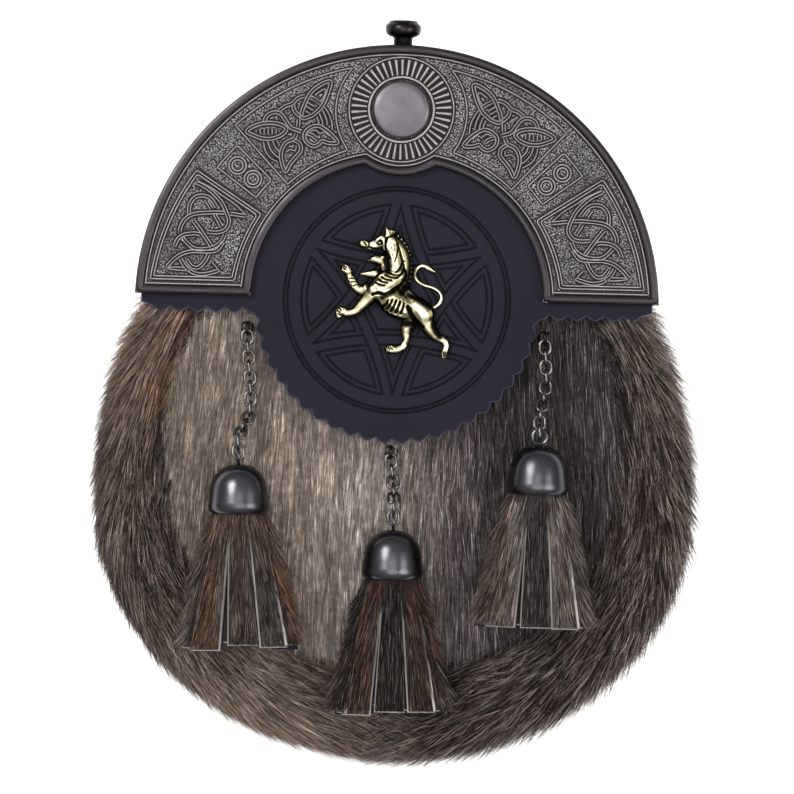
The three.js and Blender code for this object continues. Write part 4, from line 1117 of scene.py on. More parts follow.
def weave(strands, closedFlags):
    # Finds where the cords cross and sinks every other one out of sight, in turn along each cord
    rows = []
    for index, (path, closed) in enumerate(zip(strands, closedFlags)):
        ends = np.roll(path, -1, 0) if closed else path[1:]
        starts = path if closed else path[:-1]
        rows.append(np.column_stack([starts, ends, np.full(len(starts), index), np.arange(len(starts))]))
    pieces = np.vstack(rows)
    p, q = pieces[:, :2], pieces[:, 2:4]
    d = q - p
    crossings = []
    for i in range(len(pieces)):
        gap = p[i + 1:] - p[i]
        det = d[i, 0] * d[i + 1:, 1] - d[i, 1] * d[i + 1:, 0]
        det = np.where(np.abs(det) < 1e-9, 1e-9, det)
        t = (gap[:, 0] * d[i + 1:, 1] - gap[:, 1] * d[i + 1:, 0]) / det
        u = (gap[:, 0] * d[i, 1] - gap[:, 1] * d[i, 0]) / det
        for j in np.nonzero((t >= 0) & (t < 1) & (u >= 0) & (u < 1))[0]:
            k = i + 1 + j
            if pieces[i, 4] != pieces[k, 4] or abs(pieces[i, 5] - pieces[k, 5]) > 4:
                crossings.append((i, k))
    onStrand = [[] for _ in strands]
    for number, pair in enumerate(crossings):
        for m in pair:
            onStrand[int(pieces[m, 4])].append((int(pieces[m, 5]), number, m))
    upper = {}
    for events in onStrand:
        state = 1
        for _, number, m in sorted(events):
            if number in upper:
                state = 1 if upper[number] == m else -1
            else:
                upper[number] = m if state > 0 else [x for x in crossings[number] if x != m][0]
            state = -state
    out = []
    for index, path in enumerate(strands):
        z = np.zeros(len(path))
        for place, number, m in onStrand[index]:
            if upper[number] != m:
                away = np.linalg.norm(path - path[place], axis=1)
                z = np.minimum(z, -0.75 * np.exp(-((away / knotSet["gap"]) ** 4)))
        out.append(np.column_stack([path, z]))
    return out


# Knots are traced as cords, right and down in drawing units. A cord that ends where it began is closed,
# and each cord is two ridges. The lines are single ridges.
knotSet = {"unit": 0.35 / 12, "half": 0.5, "ridge": 0.27, "gap": 1.0, "step": 0.5}
upperCords = [
    [(655, 690), (600, 755), (490, 800), (370, 800), (260, 762), (180, 715), (260, 655), (380, 618),
     (500, 615), (600, 640), (655, 690)],
    [(845, 555), (950, 530), (1050, 450), (1115, 350), (1160, 230), (1180, 118), (1075, 150),
     (975, 220), (915, 300), (870, 400), (838, 490), (845, 555)],
    [(385, 605), (425, 525), (510, 485), (590, 510), (650, 590), (710, 670), (800, 705), (880, 735),
     (960, 760), (1010, 800)],
    [(565, 470), (640, 415), (720, 385), (790, 320), (880, 292), (980, 325), (1070, 385)],
    [(735, 400), (750, 465), (800, 520), (850, 560)],
    [(800, 570), (795, 640), (780, 720), (745, 800), (650, 850), (600, 930), (590, 1040), (640, 1195),
     (695, 1110), (760, 1030), (825, 950), (815, 865), (745, 815)],
    [(880, 725), (950, 665), (1040, 650), (1130, 700), (1200, 760), (1266, 850), (1160, 855),
     (1080, 830), (1050, 865), (980, 893), (900, 850), (870, 790), (880, 725)],
]
upperLines = [
    [(1110, 420), (1170, 520), (1200, 620), (1205, 700)], [(1085, 455), (1130, 560), (1145, 640)],
    [(1048, 500), (1080, 580), (1090, 640)], [(1018, 545), (1040, 600), (1045, 640)],
    [(378, 840), (400, 940), (450, 1020), (550, 1085)], [(430, 835), (462, 930), (520, 1000), (570, 1035)],
    [(490, 830), (520, 900), (572, 960)], [(540, 825), (572, 880)],
    [(340, 692), (340, 738)], [(388, 685), (388, 745)], [(436, 680), (436, 750)],
    [(484, 682), (484, 746)], [(530, 690), (530, 736)],
    [(905, 365), (985, 415)], [(895, 415), (975, 465)], [(885, 470), (935, 500)],
    [(1010, 270), (1090, 215), (1125, 215), (1105, 300), (1065, 350)],
    [(940, 715), (1010, 700), (1055, 745), (1110, 720), (1165, 770)],
    [(650, 965), (700, 930), (760, 950), (770, 890)],
]
lowerCords = [
    [(570, 180), (690, 245), (790, 330), (870, 430), (920, 540), (950, 650), (900, 745), (800, 775),
     (690, 765)],
    [(1140, 575), (980, 552), (840, 535), (680, 538), (540, 552), (450, 592), (385, 670), (360, 760),
     (390, 830), (450, 900), (530, 962), (640, 975), (760, 950), (850, 890), (900, 800)],
    [(470, 560), (480, 440), (550, 350), (650, 335), (735, 375), (800, 470)],
    [(685, 400), (760, 525), (850, 685)],
    [(520, 630), (620, 765), (740, 945)],
    [(300, 930), (340, 850), (420, 800), (540, 785), (600, 800)],
    [(205, 1185), (290, 1095), (400, 1025), (530, 1000), (680, 1005), (800, 990), (880, 890)],
    [(370, 1090), (430, 1190), (530, 1260), (650, 1275), (780, 1245), (830, 1225)],
    [(440, 1100), (500, 1180), (580, 1195), (660, 1120), (710, 1030), (760, 1000)],
]
lowerLines = [
    [(575, 155), (740, 240), (880, 340), (1020, 435), (1150, 560)], [(205, 1205), (320, 1225), (480, 1235)],
    [(835, 1235), (790, 1180), (750, 1135)], [(230, 1190), (320, 1190), (420, 1195)],
]
knotPanels = ((upperCords, upperLines, -56.875, 112.525), (lowerCords, lowerLines, -85.575, 78.925))
for cords, lines, left, top in knotPanels:
    flags = [rows[0] == rows[-1] for rows in cords]
    paths = []
    for rows, flag in zip(cords, flags):
        path = drawn(rows[:-1] if flag else rows, left, top, knotSet["unit"])
        paths.append(smoothLine(path, knotSet["step"], flag))
    ridges = {True: [], False: []}
    for path, flag in zip(weave(paths, flags), flags):
        ahead = np.roll(path, -1, 0) - np.roll(path, 1, 0) if flag else np.gradient(path, axis=0)
        out = unitRows(np.column_stack([-ahead[:, 1], ahead[:, 0]]), 1e-9)
        for offset in (-knotSet["half"], knotSet["half"]):
            ridges[flag].append(np.column_stack([path[:, :2] + out * offset, path[:, 2]]))
    for rows in lines:
        path = smoothLine(drawn(rows, left, top, knotSet["unit"]), 0.7)
        ridges[False].append(np.column_stack([path, np.zeros(len(path))]))
    for flag in (True, False):
        metalParts += reliefLines("knots", mirrored(ridges[flag]), 0.1, knotSet["ridge"], flag, 0.55)

# Sunburst round the smooth disc
bossSet = {"flutes": 46, "inner": 12.1, "outer": 17.5, "outerRing": 18.3, "innerRing": 11.35, "ray": 0.6}
centre = np.array([0.0, cantleSet["bossY"]])
metalParts += reliefLines("bossRings", [centre + bossSet["outerRing"] * circle(90)], 0.1, 0.34, True)
metalParts += reliefLines("innerRing", [centre + bossSet["innerRing"] * circle(90)], 0.05, 0.62, True)
rays = []
radii = np.linspace(bossSet["inner"], bossSet["outer"], 4)
for turn in np.arange(bossSet["flutes"]) / bossSet["flutes"] * math.tau:
    spoke = np.column_stack([radii * math.sin(turn), centre[1] + radii * math.cos(turn)])
    rays.append(atHeight(spoke, ground, [0.78, 0.95, 1.15, 1.3]))
bars = squashed(tube("rays", rays, bossSet["ray"], 1), ground, 0.85)
metalParts.append(paint(bars, pewterLine))
# A flat dark ring under the rays is painted shade in the slots between them.
fluteShadeRing = turned("fluteShadeRing", [(11.6, 0.0), (11.6, 0.06), (18.2, 0.06), (18.2, 0.0), (11.6, 0.0)], 90)
moved(fluteShadeRing, Matrix.Translation((0, centre[1] * mm, ground * mm)))
metalParts.append(paint(fluteShadeRing, pewterPaintedShade))
cantle = joinPieces("cantleFront", metalParts)
shadeBy(cantle, 38)
disc = turned("cantleDisc", [
    (0, 44.75), (4.5, 44.72), (7.5, 44.64), (9.2, 44.5), (9.8, 44.2), (10.1, 43.6), (10.1, 43.0),
    (0, 43.0)], 72)
moved(disc, Matrix.Translation((0, cantleSet["bossY"] * mm, 0)))
paint(disc, satin)
for piece in (cantle, skirt, disc):
    settle(piece, "sporran", "pewter", "cantle")
print("cantle ready", len(cantle.data.polygons))


# Lion badge: limbs of round section joined into one casting, then its mane, ribs and claws cut in

lionSet = {"back": 41.1, "flat": 0.62, "voxel": 0.28, "tilt": 1.4, "left": -24.33, "top": 62.48, "unit": 0.05,
           "middle": 0.8, "curl": 0.6}


def badgePoint(rows):
    return drawn(rows, lionSet["left"], lionSet["top"], lionSet["unit"], lionSet["tilt"])


# Each limb: right, down, radius and height of its middle, in drawing units
limbs = [
    [(436, 196, 54, 40), (462, 238, 58, 50), (472, 286, 40, 44)],
    [(420, 190, 44, 44), (385, 190, 36, 46), (345, 210, 40, 50), (316, 212, 34, 46), (290, 204, 27, 40),
     (262, 200, 29, 38), (244, 206, 18, 28)],
    [(398, 163, 24, 60), (372, 172, 16, 58)],
    [(440, 322, 46, 26), (394, 318, 33, 30), (352, 310, 31, 34), (322, 316, 21, 28), (302, 319, 11, 24)],
    [(448, 142, 28, 44), (440, 112, 22, 40), (426, 86, 11, 32)],
    [(468, 132, 24, 42), (490, 112, 13, 36)],
    [(478, 150, 36, 30), (512, 180, 36, 30), (545, 225, 38, 30), (570, 290, 36, 28), (580, 360, 34, 26),
     (575, 430, 34, 26), (560, 500, 34, 24)],
    [(468, 190, 50, 54), (474, 260, 54, 56), (492, 330, 56, 52), (500, 400, 66, 50)],
    [(428, 300, 40, 30), (430, 360, 52, 34)],
    [(500, 420, 74, 50), (440, 470, 92, 54), (390, 505, 84, 52)],
    [(350, 412, 34, 30), (312, 414, 26, 28), (280, 414, 17, 24), (250, 412, 8, 20)],
    [(360, 530, 74, 52), (330, 560, 62, 48), (290, 600, 48, 42), (250, 640, 40, 36), (205, 680, 31, 30),
     (150, 690, 30, 28)],
    [(128, 672, 34, 30), (104, 676, 36, 30), (96, 704, 26, 26)],
    [(300, 520, 50, 34), (250, 528, 36, 30), (212, 500, 32, 30), (190, 460, 29, 30), (168, 420, 26, 28)],
    [(160, 392, 34, 32), (148, 366, 34, 32), (138, 388, 26, 28)],
    [(430, 540, 92, 44), (480, 610, 98, 46), (545, 650, 88, 44), (600, 665, 78, 42)],
    [(545, 540, 56, 32), (600, 600, 58, 36), (650, 650, 72, 48)],
    [(650, 650, 76, 50), (690, 690, 80, 54), (700, 740, 68, 46), (735, 800, 52, 38), (770, 842, 38, 32),
     (806, 866, 31, 28)],
    [(806, 866, 31, 28), (838, 886, 30, 26), (848, 920, 26, 24), (836, 962, 24, 22), (832, 990, 18, 20)],
    [(590, 740, 52, 30), (570, 790, 44, 30), (566, 836, 32, 26), (570, 880, 26, 24), (548, 922, 26, 24)],
    [(548, 922, 26, 24), (500, 944, 30, 26), (458, 940, 32, 26), (440, 948, 22, 22)],
    [(745, 650, 20, 24), (778, 640, 14, 22), (806, 612, 13, 20), (815, 575, 12, 20), (795, 535, 12, 20),
     (750, 508, 12, 20), (700, 494, 12, 20), (656, 470, 12, 20), (630, 432, 12, 20), (634, 392, 12, 20),
     (660, 364, 12, 20), (690, 356, 16, 20), (722, 372, 22, 20), (748, 388, 14, 18), (776, 404, 5, 16)],
]
bodies = []
for rows in limbs:
    line = smoothLine(rows, 14)
    spots = badgePoint(line)
    heights = line[:, 3] * lionSet["unit"] / lionSet["flat"] * lionSet["middle"]
    sizes = line[:, 2] * lionSet["unit"]
    bodies.append(tube("limb", [np.column_stack([spots, heights, sizes])], 1.0, 3))
    for k in (0, -1):
        bpy.ops.mesh.primitive_uv_sphere_add(segments=16, ring_count=10, radius=sizes[k] * mm,
                                             location=(*spots[k] * mm, heights[k] * mm))
        bpy.ops.object.transform_apply(location=True, rotation=True, scale=True)
        bodies.append(bpy.context.object)
lion = joinPieces("lionBadge", bodies)
weld = lion.modifiers.new("weld", "REMESH")
weld.mode = "VOXEL"
weld.voxel_size = lionSet["voxel"] * mm
smooth = lion.modifiers.new("smooth", "SMOOTH")
smooth.factor = 0.5
smooth.iterations = 5
applyAll(lion)
where = pointsOf(lion)
where[:, 2] = np.maximum(where[:, 2], 0) * lionSet["flat"]


def upwardness(piece):
    facing = np.empty(len(piece.data.vertices) * 3)
    piece.data.vertex_normals.foreach_get("vector", facing)
    return facing[2::3]


upward = upwardness(lion)

# Cuts: path rows in drawing units, then half-width and depth in millimetres
cuts = [
    ([(432, 158), (422, 215), (430, 265), (452, 305)], 0.34, 0.6),
    ([(498, 165), (514, 225), (508, 275), (490, 325)], 0.28, 0.4),
    ([(548, 330), (530, 368), (500, 400)], 0.4, 0.45),
    ([(556, 380), (540, 410), (505, 440)], 0.4, 0.45),
    ([(350, 470), (380, 490), (420, 496)], 0.35, 0.35),
    ([(372, 450), (402, 470), (440, 476)], 0.35, 0.35),
    ([(396, 432), (428, 452), (468, 458)], 0.35, 0.35),
    ([(424, 418), (456, 436), (500, 440)], 0.35, 0.35),
    ([(452, 402), (480, 420), (516, 424)], 0.35, 0.35),
    ([(332, 560), (372, 548), (420, 556), (470, 530), (520, 500)], 0.5, 0.55),
    ([(440, 600), (424, 628), (402, 644)], 0.45, 0.5),
    ([(470, 596), (452, 634), (428, 660)], 0.45, 0.5),
    ([(500, 596), (482, 640), (460, 676)], 0.45, 0.5),
    ([(528, 606), (512, 650), (494, 686)], 0.45, 0.5),
    ([(556, 620), (544, 660), (530, 694)], 0.45, 0.45),
    ([(580, 640), (600, 690), (630, 740), (680, 790)], 0.7, 0.7),
    ([(360, 262), (392, 262), (424, 268)], 0.7, 0.9),
    ([(300, 226), (340, 238), (372, 246)], 0.3, 0.35),
    ([(276, 190), (284, 210)], 0.3, 0.35),
    ([(366, 196), (374, 184), (390, 182), (398, 194), (392, 206), (376, 208), (366, 196)], 0.25, 0.6),
    ([(304, 186), (306, 206), (302, 230)], 0.22, 0.3),
    ([(330, 252), (370, 258), (410, 270), (440, 300)], 0.6, 0.7),
    ([(458, 186), (464, 236)], 0.12, 0.15), ([(484, 200), (486, 250)], 0.12, 0.15),
    ([(470, 250), (474, 288)], 0.12, 0.15),
    ([(90, 690), (112, 704)], 0.25, 0.4), ([(84, 670), (106, 684)], 0.25, 0.4),
    ([(102, 652), (116, 668)], 0.25, 0.35),
    ([(128, 376), (148, 384)], 0.25, 0.4), ([(132, 360), (152, 366)], 0.25, 0.4),
    ([(440, 930), (456, 946)], 0.25, 0.4), ([(458, 924), (472, 944)], 0.25, 0.4),
    ([(828, 966), (830, 996)], 0.25, 0.4), ([(840, 960), (842, 990)], 0.25, 0.4),
    ([(196, 440), (172, 448)], 0.25, 0.3), ([(206, 462), (182, 474)], 0.25, 0.3),
    ([(220, 484), (198, 500)], 0.25, 0.3),
]
flat = where[:, :2]
# Darkness share: patina in the cuts, and painted shade in the strokes listed below
cutsAndShade = np.zeros(len(where))
for rows, half, depth in cuts:
    line = badgePoint(smoothLine(rows, 4))
    near = nearest(flat, line)
    share = eased(np.clip(1 - near / (half * 1.5), 0, 1))
    cutsAndShade = np.maximum(cutsAndShade, share)
    where[:, 2] -= depth * share * np.clip(upward * 2, 0, 1)
# Painted shade on the sheltered parts turned away from the light: rows, half-width in millimetres and share
shadows = [
    ([(500, 130), (560, 200), (600, 290), (604, 390), (580, 480), (540, 540)], 1.9, 1.0),
    ([(428, 316), (438, 360), (440, 395)], 1.7, 1.0),
    ([(330, 640), (420, 700), (520, 750), (610, 760)], 1.6, 1.0),
    ([(140, 724), (230, 706), (300, 650), (350, 600)], 1.3, 0.9),
    ([(580, 560), (660, 600), (740, 650)], 1.2, 0.9),
    ([(590, 660), (600, 700), (640, 770), (700, 830)], 1.2, 0.9),
    ([(770, 700), (760, 780), (800, 850)], 1.3, 0.9),
    ([(300, 500), (340, 470), (360, 440)], 1.2, 0.8),
    ([(540, 480), (480, 540), (400, 580)], 1.1, 0.8),
    ([(600, 780), (600, 840), (580, 900)], 0.9, 0.7),
]
for rows, half, strength in shadows:
    near = nearest(flat, badgePoint(smoothLine(rows, 8)))
    cutsAndShade = np.maximum(cutsAndShade, strength * np.clip(1.4 * (1 - near / (half * 1.25)), 0, 1))
# The mane's back edge breaks into small curls.
maneEdge = [(470, 100), (540, 170), (588, 240), (612, 320), (612, 400), (596, 480)]
curl = badgePoint(smoothLine(maneEdge, 10))
for k in range(0, len(curl), 3):
    gap = np.hypot(*(flat - curl[k]).T)
    where[:, 2] += lionSet["curl"] * np.exp(-((gap / lionSet["curl"]) ** 2)) * (where[:, 2] > 0.05)
    cutsAndShade *= 1 - np.exp(-((gap / 0.45) ** 2))
where[:, 2] = np.maximum(where[:, 2], 0) + lionSet["back"]
setPoints(lion, where)
# Painted shade on steep sides and on parts close to the back plate, added to the cuts and strokes
steepShade = np.clip((0.985 - upwardness(lion)) / 0.27, 0, 1)
low = np.clip(1 - (where[:, 2] - lionSet["back"]) / 0.7, 0, 1)
hollow = lion.data.attributes.new("hollow", "FLOAT", "POINT")
darkest = np.clip(np.max([cutsAndShade * 0.95, steepShade, low], axis=0), 0, 1)
hollow.data.foreach_set("value", darkest.astype(np.float32))
cleanMesh(lion, 70, 0.02)
paint(lion, brass)
settle(lion, "sporran", "brass", "lion_badge")
print("lion ready", len(lion.data.polygons))


# Chains, caps and the knob

def cadPoints(name):
    return pointsOf(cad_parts[name])


linkSet = {"wire": 1.15, "length": 3.85, "width": 2.65}
chains = {"left": 13, "middle": 7, "right": 10}
for side, count in chains.items():
    links = []
    names = [f"link_{side}_{index:02d}" for index in range(1, count + 1)]
    for name in names:
        cloud = cadPoints(name)
        centre = cloud.mean(0)
        _, _, axes = np.linalg.svd(cloud - centre, full_matrices=False)
        long, wide = Vector(axes[0]), Vector(axes[1])
        bpy.ops.mesh.primitive_torus_add(major_segments=28, minor_segments=10,
                                         major_radius=(linkSet["width"] + linkSet["wire"]) / 2 * mm,
                                         minor_radius=linkSet["wire"] / 2 * mm)
        link = bpy.context.object
        rows = pointsOf(link)
        rows[:, 1] += np.sign(rows[:, 1]) * (linkSet["length"] - linkSet["width"]) / 2
        setPoints(link, rows)
        turn = Matrix((wide, long, wide.cross(long))).transposed().to_4x4()
        turn.translation = Vector(centre) * mm
        moved(link, turn)
        links.append(link)
    chain = joinPieces("chain" + side.capitalize(), links)
    focus(chain)
    bpy.ops.object.shade_smooth()
    settle(paint(chain, chainSteel), "sporran", "chain_steel", *names)

stapleSet = {"wire": 1.2, "loop": 1.9, "top": 43.8}
hangers = {"left": (-52.1, 21.6), "middle": (-0.8, -20.6), "right": (52.2, 20.6)}
for side, (px, py) in hangers.items():
    foot = float(frontHeight(np.array(px), np.array(py))) + 0.5
    loop = stapleSet["loop"]
    middle = stapleSet["top"] - stapleSet["wire"] / 2 - loop
    path = [(px, py + loop, foot)]
    path += [(px, py + loop * math.cos(a), middle + loop * math.sin(a)) for a in np.linspace(0, math.pi, 15)]
    path += [(px, py - loop, foot)]
    loopWire = tube("staple", [path], stapleSet["wire"] / 2, 2)
    collar = turned("collar", [(0, 0.9), (1.6, 0.8), (2.5, 0.4), (2.7, 0), (0, 0)], 24)
    moved(collar, Matrix.Translation((px * mm, py * mm, foot * mm)))
    staple = joinPieces("staple" + side.capitalize(), [loopWire, collar])
    shadeBy(staple, 50)
    settle(paint(staple, blackIron), "sporran", "black_iron", "staple_" + side)

capSet = {"radius": 10.85, "height": 17.2, "axisZ": 51.4, "eyeDrop": 3.15, "eyeRadius": 2.1, "eyeWire": 1.1}
eyes = {"left": (-53.8, -22.7), "middle": (0.7, -44.3), "right": (50.9, -13.6)}
tasselFrames = {}
for side, (ex, ey) in eyes.items():
    capCloud, furCloud = cadPoints("cap_" + side), cadPoints("tassel_" + side)
    down = furCloud.mean(0) - capCloud.mean(0)
    down = Vector((down[0], down[1], 0)).normalized()
    up = -down
    out = Vector((0, 0, 1))
    across = up.cross(out)
    # Local Z runs up the cap, local Y out of the front.
    basis = Matrix((across, out, up)).transposed().to_4x4()
    top = Vector((ex, ey, capSet["axisZ"])) + down * capSet["eyeDrop"]
    basis.translation = top * mm
    r, h = capSet["radius"], capSet["height"]
    dome = [(0, 0), (2.2, -0.12), (4.4, -0.7), (6.4, -1.8), (8.1, -3.5), (9.3, -5.6), (10.0, -8.0),
            (10.4, -11.0), (10.7, -13.4), (r, -14.6), (10.7, -15.8), (10.2, -16.7), (9.7, -h)]
    hollow = [(9.0, -h + 0.2), (9.3, -13), (8.8, -9), (7.6, -5.4), (5.0, -2.6), (0, -1.4)]
    bell = turned("bell", dome + hollow, 64)
    odd = chains[side] % 2 == 1
    radius = capSet["eyeRadius"] + capSet["eyeWire"] / 2 - 0.1
    ring = radius * circle(24)
    still = np.zeros(len(ring))
    wide, deep = (still, ring[:, 0]) if odd else (ring[:, 0], still)
    ring = np.column_stack([wide, deep, ring[:, 1] + radius + 0.2])
    eye = tube("eye", [ring], capSet["eyeWire"] / 2, 2, True)
    cap = joinPieces("cap" + side.capitalize(), [bell, eye])
    moved(cap, basis)
    shadeBy(cap, 40)
    settle(paint(cap, gunmetal), "sporran", "gunmetal", "cap_" + side)
    tasselFrames[side] = basis

knobSet = {"z": 36.0, "top": 131.1, "head": 6.3, "stem": 3.3, "collar": 4.6, "tip": 107}
t, stem, collar, tip = knobSet["top"], knobSet["stem"], knobSet["collar"], knobSet["tip"]
knob = turned("catchKnob", [
    (0, tip), (stem - 0.6, tip), (stem, tip + 0.6), (stem, 118.0), (collar, 118.0), (collar, 119.2),
    (stem, 119.2), (stem, t - 6.6), (3.7, t - 6.1), (4.9, t - 5.8), (5.9, t - 5.0), (6.25, t - 3.9),
    (knobSet["head"], t - 2.6), (6.0, t - 1.7), (5.2, t - 1.2), (5.0, t - 0.6), (3.6, t - 0.15), (0, t)], 56)
moved(knob, Matrix(((1, 0, 0, 0), (0, 0, 1, 0), (0, -1, 0, knobSet["z"] * mm), (0, 0, 0, 1))))
settle(paint(knob, knobMetal), "catch", "gunmetal", "catch_knob")

bailSet = {"wire": 2.4, "half": 8.8, "reach": 8.4, "z": 16.0, "angle": 18.0}
for side, sign in (("left", -1), ("right", 1)):
    turn = math.radians(bailSet["angle"])
    out = np.array([sign * math.cos(turn), math.sin(turn)])
    along = np.array([-out[1], out[0]])
    foot = np.array([0, pouch["archY"]]) + pouch["archRadius"] * out
    half, reach = bailSet["half"], bailSet["reach"]
    rows = [(0.4, -half), (4.0, -half), (7.4, -6.4), (reach, -2.5)]
    rows += [(a, -b) for a, b in rows[::-1]]
    path = smoothLine(rows, 0.8)
    path = np.array([[*(foot + out * a + along * b), bailSet["z"]] for a, b in path])
    parts = [tube("bail", [path], bailSet["wire"] / 2, 3)]
    for b in (-half, half):
        pad = turned("pad", [(0, 1.0), (2.2, 0.95), (2.9, 0.6), (3.0, 0.3), (3.0, 0.05), (0, 0.05)], 28)
        normal = Vector((*out, 0))
        upright = Vector((0, 0, 1)).cross(normal).cross(normal) * -1
        frameTurn = Matrix((Vector((*along, 0)), upright, normal)).transposed().to_4x4()
        frameTurn.translation = Vector((*(foot + along * b), bailSet["z"])) * mm
        parts.append(moved(pad, frameTurn))
    bail = joinPieces("strapBail" + side.capitalize(), parts)
    cleanMesh(bail, 45)
    settle(paint(bail, bailSteel), "sporran", "bail_steel", "strap_bail_" + side)
print("metal fittings ready")


# Tassels: fur strips with pale cut edges and dark backs

tasselSet = {"strips": 9, "length": 47.5, "thick": 0.8, "slant": 0.34, "hairs": 6400,
             "hairLength": (9, 16), "width": 0.32, "half": (2.75, 5.0), "collar": 900, "start": -16.0,
             "tones": (0.38, 0.92, 1.6), "collarTones": (0.4, 0.8, 1.2), "darkShare": 0.3, "darkTone": 0.28,
             "pale": 0.14, "paleTip": (192, 180, 170), "core": (52, 44, 40)}
# Hair shades of the five strips that show, from right to left
stripShades = {
    "left": [(92, 62, 46), (84, 71, 64), (82, 66, 58), (94, 69, 54), (92, 76, 66)],
    "middle": [(68, 45, 36), (72, 51, 42), (42, 32, 30), (72, 46, 36), (57, 41, 35)],
    "right": [(92, 78, 72), (118, 103, 95), (58, 50, 49), (112, 97, 89), (104, 86, 78)],
}


def stripPoint(angle, down, across, out, inward=1.0):
    # A point of a strip: down its length, across its width and out from its face
    wide = np.interp(down, [0, 0.35, 1], [7.4, 11.8, 18.4]) * inward
    thick = np.interp(down, [0, 0.35, 1], [7.2, 8.6, 7.8]) * inward
    sag = np.interp(down, [0, 0.35, 1], [0, -0.6, -2.6])
    c, s = np.cos(angle), np.sin(angle)
    px, py = wide * c, thick * s + sag
    tx, ty = -wide * s, thick * c
    size = np.hypot(tx, ty)
    tx, ty = tx / size, ty / size
    return np.stack([px + tx * across + ty * out, py + ty * across - tx * out,
                     tasselSet["start"] - down * tasselSet["length"]], -1)


def stripSolid(angle, cut, lean, bow, tone, inward=1.0):
    # A flat strip whose back is a little larger than its face, so that the pale cut edge shows round it
    grid = []
    back = -tasselSet["thick"]
    for d in np.linspace(0, 1, 13):
        hw = np.interp(d, [0, 1], tasselSet["half"]) * (1 if inward == 1 else 0.7)
        wide = hw + tasselSet["slant"]
        for a, o in ((-hw, 0), (-0.34 * hw, 0.25), (0.34 * hw, 0.25), (hw, 0), (wide, back), (-wide, back)):
            longer = 0.009 if d == 1 and o < 0 else 0
            grid.append(stripPoint(angle, d * cut + longer, a + bow * d * d, o + lean * a, inward))
    faces = ringFaces(13, 6) + [tuple(range(6)), tuple(range(72, 78))]
    strip = paint(newPiece("strip", np.array(grid), faces), tasselFur, stripEdge, stripBack)
    for i, p in enumerate(strip.data.polygons):
        p.material_index = (0, 0, 0, 1, 2, 1)[i % 6] if i < 72 else 1
    paintTint(strip, np.tile(tone * 0.5, (78, 1)))
    return strip


